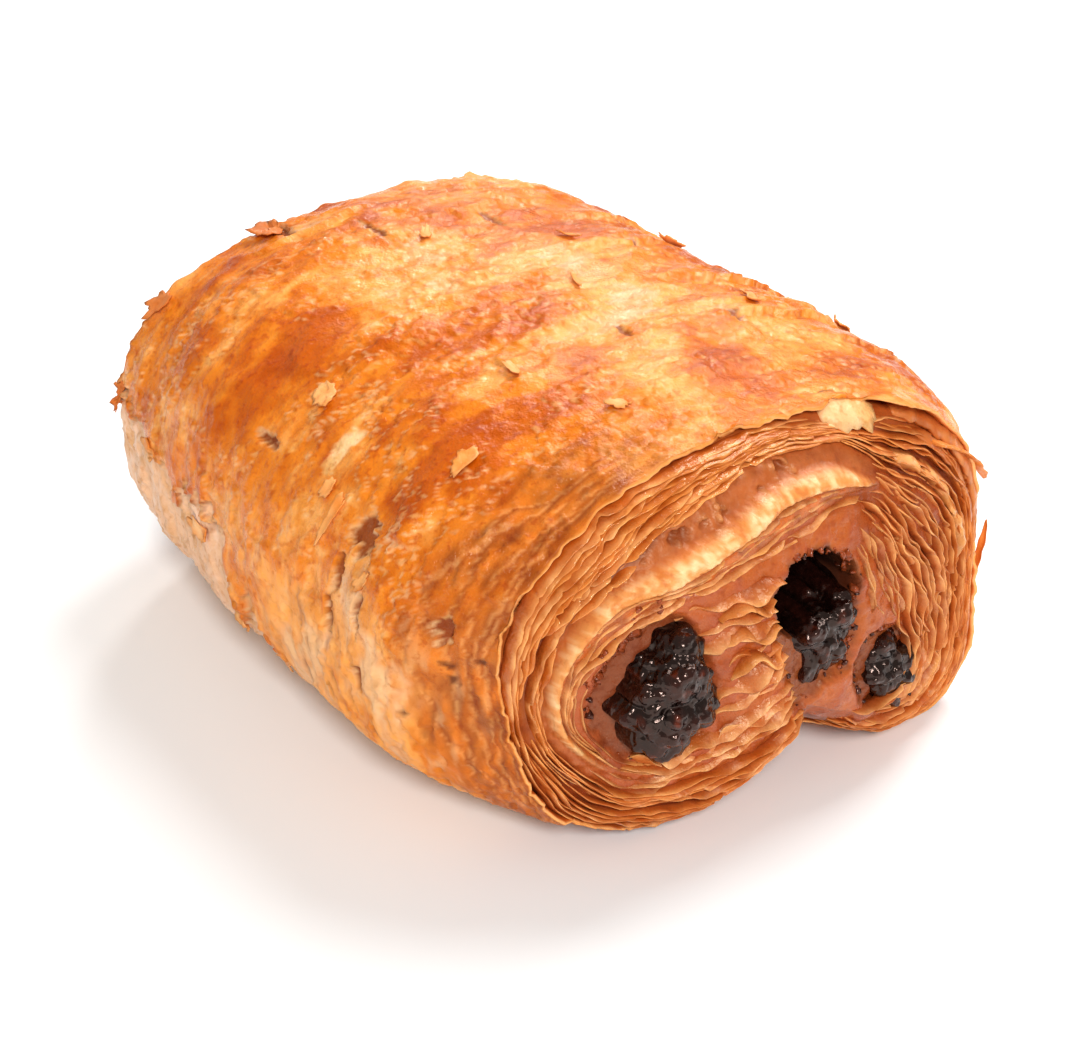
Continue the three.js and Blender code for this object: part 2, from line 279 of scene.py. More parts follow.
def section_radius(angle, y):
    """The radius of the smooth section at an angle round the core."""
    angle, y = np.broadcast_arrays(np.asarray(angle, float), np.asarray(y, float))
    station = (y / HALF_LENGTH + 1) / 2
    across = np.cos(angle)
    up = np.sin(angle)
    left = across < 0
    reach = np.where(left, through(STATIONS, LEFT_REACH, station), through(STATIONS, RIGHT_REACH, station))
    rise = np.where(up > 0, through(STATIONS, RISE, station), BASE_DEPTH)
    base_power = np.where(left, LEFT_BASE_SQUARENESS, RIGHT_BASE_SQUARENESS)
    power = np.where(up > 0, TOP_SQUARENESS, base_power)
    oval = (np.abs(across / reach) ** power + np.abs(up / rise) ** power) ** (1 / power)
    inside = np.zeros(angle.shape)
    outside = np.full(angle.shape, float(WIDEST_RADIUS))
    for _ in range(BISECTIONS):
        radius = (inside + outside) / 2
        from_arch = np.abs(CORE_X + radius * across - ARCH_X) / ARCH_HALF_WIDTH
        arch = ARCH_HEIGHT * np.clip(1 - from_arch, 0, 1) ** ARCH_POWER
        under = arch - BASE_CUT - CORE_HEIGHT - radius * up
        past = blend((radius * oval - 1) * SECTION_SCALE, under, ARCH_BLEND)
        inside = np.where(past < 0, radius, inside)
        outside = np.where(past < 0, outside, radius)
    return inside


def crust_swell(angle, y):
    """Long low swells of the baked crust."""
    up = np.sin(angle)
    first = np.sin(2 * angle + 0.085 * y + 0.6) * np.cos(0.06 * y - 1.3 * up)
    second = 0.6 * np.sin(5.2 * np.cos(angle) - 0.14 * y) * np.sin(0.11 * y + 2)
    third = 0.5 * np.sin(6.3 * up + 0.21 * y + 1)
    return CRUST_SWELL * np.clip(0.8 + 0.8 * up, 0, 1) * (first + second + third)


def outline_radius(outline, angle):
    return around(outline["angles"], outline["radii"], angle)


def within(outline, x, z):
    """How far inside an outline a point lies, in millimetres."""
    away = np.hypot(x - outline["x"], z - outline["z"])
    return outline_radius(outline, np.arctan2(z - outline["z"], x - outline["x"])) - away


def layered_edge(angle):
    """1 where the crust steps down towards the near end, on the left, and 0 elsewhere."""
    degrees = np.degrees(angle) % 360
    return ramp(88, 135, degrees) * ramp(310, 240, degrees)


class End:
    """One end of the roll: side -1 is the near end, and 1 the far end."""

    SAMPLES = 1440

    def __init__(self, side, recess, seed):
        self.side = side
        self.recess = recess
        self.seed = seed
        self.table = np.radians(np.arange(self.SAMPLES + 1) * 360 / self.SAMPLES)
        self.radii = section_radius(self.table, self.edge(self.table))
        if side < 0:
            self.radii -= EDGE_LAYER_STEP * len(EDGE_LAYERS) * layered_edge(self.table)

    def recess_at(self, angle):
        return around(RECESS_ANGLES, self.recess, angle)

    def edge(self, angle):
        return self.side * (HALF_LENGTH - self.recess_at(angle))

    def radius(self, angle):
        return np.interp(angle % (2 * math.pi), self.table, self.radii)

    def plan(self, angle, share):
        """The x and z of a share of the outline."""
        radius = share * self.radius(angle)
        return CORE_X + radius * np.cos(angle), CORE_HEIGHT + radius * np.sin(angle)

    def polar(self, x, z):
        angle = np.arctan2(z - CORE_HEIGHT, x - CORE_X)
        return angle, np.hypot(x - CORE_X, z - CORE_HEIGHT) / self.radius(angle)

    def place(self, x, z, height):
        """A point that stands the given height out from the domed end face."""
        angle, share = self.polar(x, z)
        dome = HALF_LENGTH - self.recess_at(angle) * share ** DOME_POWER
        away = np.hypot(x - LEFT_BATON["x"], z - LEFT_BATON["z"]) / SCROLL_DISH_RADIUS
        dish = SCROLL_DISH * np.exp(-away ** 4)
        return np.stack([x, self.side * (dome + height - dish), z], -1)


# Meshes.

class Builder:
    """Gathers closed grids of points into one mesh, with a tint and a gloss at every point."""

    def __init__(self):
        self.points = []
        self.quads = []
        self.triangles = []
        self.tints = []
        self.gloss = []
        self.count = 0

    def add(self, points, tints, gloss):
        start = self.count
        self.points.append(points.reshape(-1, 3))
        self.tints.append(tints.reshape(-1, 3))
        self.gloss.append(gloss.ravel())
        self.count += len(self.points[-1])
        return start

    def tube(self, rings, tints, gloss, flip=False):
        """A closed skin over rings of points, with a point in the middle of each end."""
        rows, columns = rings.shape[:2]
        tints = np.broadcast_to(tints, rings.shape)
        start = self.add(rings, tints, gloss)
        ends = np.stack([rings[0].mean(0), rings[-1].mean(0)])
        end_tints = np.stack([tints[0].mean(0), tints[-1].mean(0)])
        end_gloss = np.array([gloss[0].mean(), gloss[-1].mean()])
        middle = self.add(ends, end_tints, end_gloss)
        j = np.arange(columns)
        k = (j + 1) % columns
        i = np.arange(rows - 1)[:, None] * columns
        a = start + i + j
        b = start + i + k
        quads = np.stack([a, a + columns, b + columns, b], -1).reshape(-1, 4)
        last = start + (rows - 1) * columns
        first_cap = np.stack([np.full(columns, middle), start + j, start + k], -1)
        last_cap = np.stack([np.full(columns, middle + 1), last + k, last + j], -1)
        caps = np.concatenate([first_cap, last_cap])
        self.quads.append(quads[:, ::-1] if flip else quads)
        self.triangles.append(caps[:, ::-1] if flip else caps)

    def build(self, name, material, slot, *nodes):
        """The finished piece, which stands for the nodes that are named."""
        points = np.concatenate(self.points) * MM
        quads = np.concatenate(self.quads)
        triangles = np.concatenate(self.triangles)
        corners = np.concatenate([quads.ravel(), triangles.ravel()]).astype(np.int32)
        sizes = np.concatenate([np.full(len(quads), 4), np.full(len(triangles), 3)])
        starts = np.concatenate([[0], np.cumsum(sizes)[:-1]]).astype(np.int32)
        mesh = bpy.data.meshes.new(name)
        mesh.vertices.add(len(points))
        mesh.vertices.foreach_set("co", points.astype(np.float32).ravel())
        mesh.loops.add(len(corners))
        mesh.loops.foreach_set("vertex_index", corners)
        mesh.polygons.add(len(sizes))
        mesh.polygons.foreach_set("loop_start", starts)
        mesh.polygons.foreach_set("use_smooth", np.ones(len(sizes), bool))
        mesh.update(calc_edges=True)
        tints = np.concatenate([np.concatenate(self.tints), np.ones((self.count, 1))], axis=1)
        layer = mesh.attributes.new("tint", "FLOAT_COLOR", "POINT")
        layer.data.foreach_set("color", np.clip(tints, 0, 1).astype(np.float32).ravel())
        layer = mesh.attributes.new("gloss", "FLOAT", "POINT")
        layer.data.foreach_set("value", np.concatenate(self.gloss).astype(np.float32))
        mesh.validate()
        piece = bpy.data.objects.new(name, mesh)
        bpy.context.scene.collection.objects.link(piece)
        mesh.materials.append(material)
        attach(piece, "root")
        if nodes:
            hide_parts(*nodes)


# The crust.

CRUST_ROWS = 190
# How much closer the rows lie towards the near end, where the relief is finest.
ROW_CROWDING = 0.32
TOP_COLUMNS = 370
UNDER_COLUMNS = 100
TOP_START = math.radians(-12)
TOP_END = math.radians(205)
LIP_JAG = 1.0
LIP_THICKNESS = 0.6
# How far the crust reaches past the layers, in degrees round the core.
LIP_ANGLES = [0, 20, 36, 48, 54, 64, 69, 84, 100, 130, 160, 190, 205, 230, 300, 360]
LIP_REACHES = [0.2, 0.4, 2.2, 2.8, 0.0, -0.3, 1.0, 0.2, 0.2, 0.5, 0.4, 0.4, 0.4, 0.4, 0.6, 0.6]

# Where a skin ends across the roll: y, degrees, half span in degrees, height and how far behind it fades.
SKIN_ENDS = [
    (-8, 38, 26, 1.4, 14), (-23, 47, 18, 1.2, 10), (6, 58, 20, 0.7, 12), (19, 32, 30, 0.9, 12),
    (-31, 28, 22, 0.9, 10), (28, 76, 22, 0.6, 10), (-14, 102, 14, 0.45, 8), (38, 112, 24, 0.8, 9),
    (14, 96, 12, 0.4, 7), (-2, 128, 13, 0.4, 7),
]

# Patches of the crust, by degrees round the core and y: darker, paler and blistered ones.
DARK_SPOTS = [
    (136.9, 16.3, 8), (148.5, 17.6, 7), (136.5, -19.9, 8), (147.7, -37.2, 6), (125.4, -2.9, 9),
    (149.4, -5.5, 5), (152.4, -29.5, 7), (139.3, -31, 6), (157.6, 15, 6), (112, -28, 8), (96, 36, 7),
    (128, 38, 7), (60, 20, 8), (104, -8, 6), (84, 27, 6), (40, -5, 9), (70, -30, 7), (50, -41, 7),
    (34, -36, 8), (80, -40, 7),
]
# The paler spot at 149.1 degrees and y -9 is a painted highlight, with the pale tear.
LIGHT_SPOTS = [
    (106.6, 7.4, 6), (82.6, 9.5, 7), (69.5, -11.4, 7), (135.5, -3.6, 4), (90.2, -15.8, 7), (61.4, -29.3, 8),
    (126.9, -19.6, 5), (149.1, -9, 4), (118, 24, 6), (100, 18, 5), (92, -34, 6), (128, -38, 6),
]
# Blistered patches, glossier and painted paler, partly as a highlight.
SPECK_SPOTS = [
    (119.4, -16.9, 9), (74.6, -8.5, 9), (123.7, -13.8, 7), (113.6, 3.6, 8),
    (88, 14, 8), (100, -27, 8), (58, -36, 8),
]

# Tears: degrees, y, half length round the roll, half width along it, and depth. One is a pale patch: bare
# dough with a painted highlight.
PALE_TEAR_HIGHLIGHT = (149.1, -9, 3.6, 1.9, 0.2)
TEARS = [
    (158.2, -21.5, 3.0, 3.4, 0.8), (166.6, -19, 3.2, 1.1, 1.0), (174.2, -18.1, 3.6, 1.1, 1.0),
    (169.6, -25.5, 3.2, 1.0, 1.0), (165, -38, 2.2, 1.3, 0.7), (182.2, -25.7, 2.4, 1.2, 0.8),
    (155.7, 5, 0.9, 3.1, 0.7), PALE_TEAR_HIGHLIGHT,
    (119, 44, 1.2, 5.5, 0.9), (54, 6, 0.8, 3.0, 0.5), (86, -18, 0.6, 3.0, 0.3),
    (74, 24, 0.7, 3.5, 0.4), (60, -22, 0.7, 3.0, 0.45), (104, 30, 0.7, 4.0, 0.35), (45, 24, 0.8, 3.0, 0.5),
]
SPECKS = [(172, -39, 0.7), (175, -39.4, 0.8), (169.5, -42.5, 0.6), (184, -34, 0.5)]

# The lower edge of the golden skin on the left side, as y and degrees.
SKIN_EDGE_Y = [-60, -30, -8, 0, 4, 8, 10, 12.6, 16.5, 22, 25, 33, 42, 60]
SKIN_EDGE = [215, 212, 205, 197, 184, 196, 178, 175, 174, 176, 179, 173, 171, 170]
SKIN_STEP = 0.9


def turn_from(degrees, angle):
    """The turn round the core from a place, within half a turn each way."""
    return (angle - math.radians(degrees) + math.pi) % (2 * math.pi) - math.pi


def spots(places, angle, y, radius):
    """How strongly each point lies within scattered round patches."""
    total = np.zeros(np.broadcast(angle, y).shape)
    for degrees, middle, size in places:
        turn = turn_from(degrees, angle)
        total += np.exp(-((turn * radius) ** 2 + (y - middle) ** 2) / size ** 2)
    return np.clip(total, 0, 1)


def stretched(points, share):
    """Points drawn together across the roll, so that noise on them runs long round it."""
    return points * np.array([share, 1, share])


def patch(points, size, level, edge, seed):
    """Ragged patches with sharp edges, drawn out round the roll."""
    drawn = stretched(points, 0.45)
    field = noise(drawn, size, seed) + 0.45 * noise(drawn, size / 3, seed + 1)
    field = field + 0.3 * noise(points, 1.4, seed + 2)
    return np.clip((field - level) / edge + 0.5, 0, 1)


def edge_layers(smooth, angle, y):
    """How deep the crust steps down towards the near end, the layers' rims, which take a painted highlight,
    the painted shadow in front of each step, and the browning.
    """
    here = layered_edge(angle)
    from_edge = y + HALF_LENGTH - around(RECESS_ANGLES, NEAR_RECESS, angle)
    ragged = 0.7 * noise(smooth, 3.4, 142) + 0.4 * noise(smooth, 1.2, 143)
    depth = 0
    rims = 0
    shade = 0
    for k, at in enumerate(EDGE_LAYERS):
        reach = at * (1 + 0.55 * noise(smooth, 11, 144 + 3 * k)) + ragged * (0.6 + 0.1 * at)
        inside = reach - from_edge
        sunk = np.clip(inside / 0.45 + 0.5, 0, 1)
        depth = depth + EDGE_LAYER_STEP * sunk
        rims = rims + 4 * sunk * (1 - sunk)
        # A painted shadow just in front of each step.
        shade = shade + ramp(0.0, 0.3, inside) * ramp(1.1, 0.4, inside)
    brown = ramp(14, 7, from_edge + 2.4 * ragged)
    return depth * here, np.clip(rims, 0, 1) * here, np.clip(shade, 0, 1) * here, brown * here


def skin_ends(smooth, angle, y):
    """Skins that lie over the crust and end in a ragged edge that faces the near end, with rims that take a
    painted highlight.
    """
    ragged = 1.7 * noise(smooth, 6, 131) + 1.0 * noise(smooth, 2, 132) + 0.4 * noise(smooth, 0.9, 133)
    height = 0
    rims = 0
    for middle, degrees_at, span, lift, fade in SKIN_ENDS:
        turn = np.abs(np.degrees(turn_from(degrees_at, angle)))
        past = y - middle - ragged - 0.1 * turn
        shown = ramp(span, span * 0.5, turn)
        raised = np.clip(past / 0.4 + 0.5, 0, 1)
        height = height + lift * raised * np.exp(-np.maximum(past, 0) / fade) * shown
        rims = rims + 4 * raised * (1 - raised) * shown
    return height, np.clip(rims, 0, 1)


def golden_skin(smooth, degrees, y):
    """1 under the golden skin and 0 below its ragged edge, which points are on the left, and the painted
    shadow just below the edge.
    """
    ragged = 3.2 * noise(smooth, 5, 41) + 2.4 * noise(smooth, 1.9, 42) + 1.2 * noise(smooth, 0.9, 43)
    skin_end = through(SKIN_EDGE_Y, SKIN_EDGE, y) + ragged * 1.4
    left = (degrees > 120) & (degrees < 262)
    golden = np.where(left, np.clip((skin_end - degrees) / 0.9 + 0.5, 0, 1), 1)
    # A painted shadow just below the skin's edge.
    shade = np.where(left, ramp(-2.2, -0.4, skin_end - degrees) * (1 - golden), 0)
    return np.where((degrees >= 262) & (degrees < 300), 0, golden), left, shade


def bake_colour(bake, bare):
    """The colour of the crust by how far it is baked, from 0 to 1, and of the dough where it is bare."""
    tint = mix(PALE_DOUGH, CREAM, 0.35 * ramp(0.2, 0.1, bake))
    tint = mix(tint, UNDER_SKIN, bare)
    tint = mix(tint, GOLD, ramp(0.1, 0.38, bake))
    tint = mix(tint, AMBER, ramp(0.4, 0.62, bake))
    return mix(tint, DARK_AMBER, ramp(0.62, 0.95, bake))


def crust_finish(angle, y):
    """The relief of the crust over its smooth form, its tint and its gloss."""
    radius = section_radius(angle, y) + crust_swell(angle, y)
    smooth = np.stack([CORE_X + radius * np.cos(angle), y, CORE_HEIGHT + radius * np.sin(angle)], -1)
    up = np.sin(angle)
    top = ramp(-0.2, 0.35, up)
    degrees = np.degrees(angle) % 360

    drawn = stretched(smooth, 0.6)
    ridge = 1 - np.abs(noise(drawn, 9, 5))
    wrinkle = 1 - np.abs(fractal(drawn, 4.2, 2, 6))
    relief = 0.45 * fractal(smooth, 13, 3, 1) + 0.24 * fractal(drawn, 4.5, 3, 2)
    relief += 0.4 * ridge ** 3 * (0.4 + 0.6 * top) + 0.22 * wrinkle ** 4
    warped = smooth + np.stack([0.9 * noise(smooth, 2.3, 161 + k) for k in range(3)], -1)
    blister = ramp(0.5, 0.1, crumbs(warped, 1.6, 3)) * ramp(-0.1, 0.5, noise(smooth, 3.5, 7))
    speckled = spots(SPECK_SPOTS, angle, y, radius)
    relief += blister * (0.05 + 0.15 * speckled) * top

    # Thin skins that end in ragged edges.
    skin_one = patch(smooth, 15, 0.02, 0.06, 21)
    skin_two = patch(smooth, 9, 0.32, 0.06, 31)
    relief += 0.34 * skin_one + 0.34 * skin_two
    rims = 4 * (skin_one * (1 - skin_one) + skin_two * (1 - skin_two))
    lifted, lifted_rim_highlights = skin_ends(smooth, angle, y)
    sunk, sunk_rim_highlights, sunk_step_shadow, sunk_brown = edge_layers(smooth, angle, y)
    relief += lifted - sunk
    golden, left, skin_edge_shadow = golden_skin(smooth, degrees, y)
    relief += SKIN_STEP * (golden - 1) * left
    skin_rim_highlight = 4 * golden * (1 - golden)

    # How dark the bake is.
    pale_side = ramp(160, 180, degrees) * ramp(300, 240, degrees) * ramp(6, -10, y) * ramp(-46, -36, y)
    patchy = patch(smooth, 6, 0.05, 0.14, 151)
    bake = 0.48 + 0.26 * fractal(smooth, 11, 3, 51) + 0.14 * fractal(drawn, 3, 2, 52)
    bake += 0.05 * noise(smooth, 0.8, 53)
    bake += 0.32 * spots(DARK_SPOTS, angle, y, radius) - 0.2 * spots(LIGHT_SPOTS, angle, y, radius)
    # Blisters are paler, more so in the speckled patches: partly their own colour, partly a painted
    # highlight.
    bake += 0.1 * ridge ** 2 - 0.14 * blister * (0.3 + speckled)
    bake += 0.06 * (skin_one - 0.5) + 0.16 * (patchy - 0.4)
    bake += 0.3 * ramp(-32, -43, y) * left
    bake -= 0.24 * pale_side
    bake = np.where(golden < 0.5, 0.08 + 0.1 * noise(drawn, 5, 54), bake)
    tint = bake_colour(np.clip(bake, 0, 1), (1 - golden) * left)
    # Painted highlight: the skins' edges are paler on the top.
    tint = mix(tint, CREAM, 0.45 * np.clip(rims, 0, 1) * top)
    strips = np.clip(0.5 + 0.9 * noise(stretched(smooth, 0.3), 1.3, 152), 0, 1)
    stripe = mix(LAYER_FACE * 0.5, mix(AMBER, LAYER_FACE, 0.4), strips)
    tint = mix(tint, stripe, 0.9 * sunk_brown)
    # Painted shadow in front of each step of the edge layers.
    tint = mix(tint, BROWN * 1.3, 0.5 * sunk_step_shadow)
    # Painted highlight along the rims of the skin ends and of the edge layers' steps.
    tint = mix(tint, LAYER_EDGE_HIGHLIGHT, 0.55 * lifted_rim_highlights + 0.3 * sunk_rim_highlights * (1 - lifted_rim_highlights))
    # Painted highlight along the golden skin's lower edge, and painted shadow just below it.
    tint = mix(tint, CREAM, 0.6 * skin_rim_highlight * left)
    tint = mix(tint, BROWN, 0.5 * skin_edge_shadow)
    # Vertical cracks on the pale side: sunk, with painted shade in them, and pale streaks between.
    vertical = noise(stretched(smooth, 0.25), 1.5, 61) + 0.5 * noise(stretched(smooth, 0.3), 0.8, 62)
    relief -= 0.3 * ramp(0.3, 0.8, -vertical) * pale_side
    tint = mix(tint, CREAM, 0.3 * ramp(0.25, 0.7, vertical) * pale_side)
    tint = mix(tint, BROWN, 0.5 * ramp(0.3, 0.8, -vertical) * pale_side)

    relief, tint = torn_places(smooth, angle, y, radius, relief, tint)
    tint = dark_base(smooth, degrees, CORE_HEIGHT + radius * up, tint)
    gloss = 0.35 + 0.35 * golden * top + 0.15 * noise(smooth, 3, 91) + 0.3 * speckled * blister
    gloss = np.clip(gloss - 0.25 * pale_side, 0, 1)
    return radius, relief, tint, gloss


def torn_places(smooth, angle, y, radius, relief, tint):
    """Cuts the tears into the crust, darker inside, partly the dough's colour and partly painted shade, with
    pale rims, and adds the dark specks.
    """
    for tear in TEARS:
        degrees_at, middle, length, width, depth = tear
        turn = turn_from(degrees_at, angle) * radius
        away = np.sqrt((turn / length) ** 2 + ((y - middle) / width) ** 2)
        torn = np.clip((1 - away + 0.5 * noise(smooth, 1.6, 71) + 0.3 * noise(smooth, 0.8, 72)) * 3.2, 0, 1)
        relief -= depth * torn
        # Tears are brown inside, partly painted shade; the pale tear is cream, a painted highlight.
        tint = mix(tint, CREAM if tear is PALE_TEAR_HIGHLIGHT else BROWN * 1.1, torn * 0.9)
        tint = mix(tint, CREAM, 0.5 * 4 * torn * (1 - torn))
    for degrees_at, middle, size in SPECKS:
        turn = turn_from(degrees_at, angle) * radius
        away = np.hypot(turn, y - middle) / size
        tint = mix(tint, BROWN * 0.5, np.clip((1.2 - away + 0.7 * noise(smooth, 0.9, 73)) * 1.2, 0, 0.9))
    return relief, tint


def dark_base(smooth, degrees, height, tint):
    """Bakes the base dark where the roll rests on it."""
    tint = mix(tint, BROWN, 0.75 * ramp(3.2 + 1.2 * noise(smooth, 4, 81), 0.6, height))
    under = (degrees > 225) & (degrees < 330)
    return mix(tint, DARK_AMBER, 0.6 * under * ramp(0.5, 3, height))


def crust_point(angle, y, lift=0.0):
    radius, relief, tint, gloss = crust_finish(angle, y)
    reach = radius + relief + lift
    height = np.maximum(CORE_HEIGHT + reach * np.sin(angle), 0)
    return np.stack([CORE_X + reach * np.cos(angle), y, height], -1), tint, gloss


def crust_angles():
    top = np.linspace(TOP_START, TOP_END, TOP_COLUMNS, endpoint=False)
    under = np.linspace(TOP_END, TOP_START + 2 * math.pi, UNDER_COLUMNS, endpoint=False)
    return np.concatenate([top, under])


def lip_reach(end, angle):
    """How far the crust reaches past the layers, ragged."""
    ring = np.stack([np.cos(angle) * 30, np.sin(angle) * 30, np.full_like(angle, 5.0 * end.seed)], -1)
    ragged = 0.9 * noise(ring, 9, 101) + 0.8 * noise(ring, 3, 102) + 0.5 * noise(ring, 1.3, 103)
    return around(LIP_ANGLES, LIP_REACHES, angle) + LIP_JAG * ragged


def lip_rings(end, angle):
    """Rings from deep inside the roll to the tip of the crust's lip."""
    edge = end.edge(angle)
    tip = edge + end.side * lip_reach(end, angle)
    outer, tint = crust_point(angle, edge)[:2]
    radius = np.hypot(outer[:, 0] - CORE_X, outer[:, 2] - CORE_HEIGHT)

    def ring(inset, y):
        share = (radius - inset) / radius
        points = outer.copy()
        points[:, 0] = CORE_X + (outer[:, 0] - CORE_X) * share
        points[:, 2] = CORE_HEIGHT + (outer[:, 2] - CORE_HEIGHT) * share
        points[:, 1] = y
        return points

    inward = -end.side
    rings = [
        ring(7, edge + 9 * inward), ring(LIP_THICKNESS + 0.8, edge + 6.5 * inward),
        ring(LIP_THICKNESS + 0.2, edge + 2 * inward), ring(LIP_THICKNESS, (edge + tip) / 2),
        ring(LIP_THICKNESS * 0.8, tip - 0.15 * end.side), ring(LIP_THICKNESS * 0.45, tip),
        ring(LIP_THICKNESS * 0.12, tip - 0.1 * end.side), ring(0.0, (edge + tip) / 2),
    ]
    # Painted shade on the rings inside the crust, and a pale tip to the lip, partly a painted highlight.
    lip_shade_and_highlight_tints = [GAP_SHADE, GAP_SHADE, GROOVE_SHADE, LAYER_FACE, LAYER_EDGE_HIGHLIGHT, LAYER_EDGE_HIGHLIGHT, mix(GOLD, tint, 0.5), tint]
    tints = np.stack([np.broadcast_to(shade, outer.shape) for shade in lip_shade_and_highlight_tints])
    return np.stack(rings), tints, np.full((len(rings), len(angle)), 0.3)


def make_crust(near, far, material):
    angle = crust_angles()
    share = (np.arange(CRUST_ROWS) + 0.5)[:, None] / CRUST_ROWS
    along = share * (1 - ROW_CROWDING * (1 - share))
    y = near.edge(angle) * (1 - along) + far.edge(angle) * along
    body, tint, gloss = crust_point(np.broadcast_to(angle, y.shape), y)
    near_rings, near_tints, near_gloss = lip_rings(near, angle)
    far_rings, far_tints, far_gloss = lip_rings(far, angle)
    rings = np.concatenate([near_rings, body, far_rings[::-1]])
    tints = np.concatenate([near_tints, tint, far_tints[::-1]])
    shine = np.concatenate([near_gloss, gloss, far_gloss[::-1]])
    builder = Builder()
    builder.tube(rings, tints, shine)
    builder.build("crust", material, "pastry", "pastry")


# The end faces.

# Columns and rows of the grid on each end, by its side.
FACE_GRIDS = {-1: (560, 116), 1: (300, 60)}
# The shares of the outline's radius at which the grid starts and stops.
FACE_RIM = 0.975
FACE_CENTRE = 0.012
# Behind its rim the face runs in by this depth, then narrows to its root deep in the roll.
FACE_DEPTH = 6.0
FACE_ROOT_SHARE = 0.8
FACE_ROOT_Y = 36
# How softly one band passes into the next, as a share of the radius.
BAND_SOFTNESS = 0.012


def band_shares(angle):
    """The shares of the radius where the bands of the end face meet."""
    degrees = (np.degrees(angle) + 64) % 360 - 64
    thin = through(THIN_ANGLES, THIN_INNER, degrees)
    outer = through(PUFF_ANGLES, PUFF_OUTER, degrees)
    inner = through(PUFF_ANGLES, PUFF_INNER, degrees)
    sheet = through(PUFF_ANGLES, SHEET_INNER, degrees)
    shown = ramp(46, 58, degrees) * ramp(204, 186, degrees)
    return degrees, thin, outer, inner, sheet, shown


def face_finish(end, x, z):
    """Height over the dome, tint and gloss of the surface under the loose layers."""
    angle, share = end.polar(x, z)
    degrees, thin, outer, inner, sheet, shown = band_shares(angle)
    flat = np.stack([x, z, np.full_like(x, 3.1 * end.seed)], -1)
    soft = BAND_SOFTNESS
    in_thin = ramp(thin - soft, thin + soft, share)
    in_puff = ramp(inner - soft, inner + soft, share) * ramp(outer + soft, outer - soft, share) * shown
    in_brown = ramp(outer - soft, outer + soft, share) * (1 - in_thin) * shown
    in_sheet = ramp(sheet - soft, sheet + soft, share) * ramp(inner + soft, inner - soft, share) * shown
    in_core = np.clip(1 - in_thin - in_puff - in_brown - in_sheet, 0, 1)

    first = crumbs(flat, 1.5, 7)
    pits = ramp(0.45, 0.12, first)
    middle = (inner + outer) / 2
    half = np.maximum((outer - inner) / 2, 0.01)
    crown = np.sqrt(np.clip(1 - ((share - middle) / half) ** 2, 0, 1))
    slope = np.clip((share - sheet) / np.maximum(inner - sheet, 0.01), 0, 1)
    rough = fractal(flat, 3, 3, 11)
    bubbles = ramp(0.5, 0.1, first) * ramp(-0.2, 0.4, noise(flat, 5, 14))
    height = -1.3 * in_thin
    holes = ramp(0.25, 0.5, noise(flat, 1.9, 15)) * ramp(-0.1, 0.3, noise(flat, 6, 18))
    height += (-1.0 + 0.7 * bubbles - 1.0 * holes + 0.35 * rough) * in_brown
    domed = np.stack([x, z, 3.1 * end.seed + 2.6 * crown], -1)
    speckle = fractal(domed, 2.4, 3, 20) + 0.7 * noise(domed, 0.7, 19)
    height += (-0.9 + 2.1 * crown + 0.26 * speckle) * in_puff
    height += (-1.5 + 1.5 * slope + 0.22 * rough) * in_sheet
    right = ramp(64, 50, degrees) * ramp(0.44, 0.5, share)
    height += (-1.0 - 0.3 * right + 0.4 * rough) * in_core

    tint = np.broadcast_to(BROWN, x.shape + (3,)) * 1.0
    # Painted shade: the face under the thin layers is dark, for the shade between them.
    tint = mix(tint, mix(GROOVE_SHADE, mix(GAP_SHADE, UNDER_LIP, ramp(0.9, 0.94, share)), 0.5 + 0.5 * rough), in_thin)
    # Painted light on the brown band: paler where raised, above all on the bubbles, as a highlight, and
    # darker in the pits and sunk holes, as shade.
    brown_tint = mix(BAND_BROWN, LAYER_EDGE_HIGHLIGHT, 0.35 * bubbles)
    dark = np.clip(0.5 * pits * (1 - bubbles) - 0.4 * rough + 0.8 * holes, 0, 0.9)
    brown_tint = mix(brown_tint, BROWN, dark)
    tint = mix(tint, brown_tint, in_brown)
    # Painted light on the puffy band: paler on its crown and raised speckles, as a highlight, and darker in
    # the dips and down its sides, as shade.
    puff_tint = mix(PUFF, CREAM, 0.8 * ramp(-0.2, 0.6, speckle))
    puff_tint = mix(puff_tint, DARK_AMBER, 0.5 * ramp(0.3, 0.8, -speckle))
    puff_tint = mix(puff_tint, LAYER_FACE, ramp(0.85, 0.2, crown))
    tint = mix(tint, puff_tint, in_puff)
    sheet_tint = mix(SHEET_GREY, LAYER_FACE, ramp(-0.3, 0.5, rough))
    tint = mix(tint, mix(EYE_WALL, sheet_tint, ramp(0, 0.5, slope)), in_sheet)
    core_tint = mix(CORE_DOUGH, EYE_WALL, ramp(-0.2, 0.7, rough))
    eye = np.exp(-(np.hypot(x - LEFT_BATON["x"], z - LEFT_BATON["z"]) / 12) ** 4)
    core_tint = mix(core_tint, EYE_WALL, 0.75 * eye)
    # The sunk dough on the right is darkened with painted shade.
    tint = mix(tint, mix(core_tint, GROOVE_SHADE, 0.6 * right), in_core)

    height, tint, pocket = hollows(end, flat, x, z, height, tint)
    gloss = 0.3 + 0.3 * in_sheet + 0.2 * in_core + 0.3 * in_brown * bubbles + 0.1 * rough
    return height, tint, np.clip(gloss * (1 - ramp(-1, 1, pocket)), 0, 1)


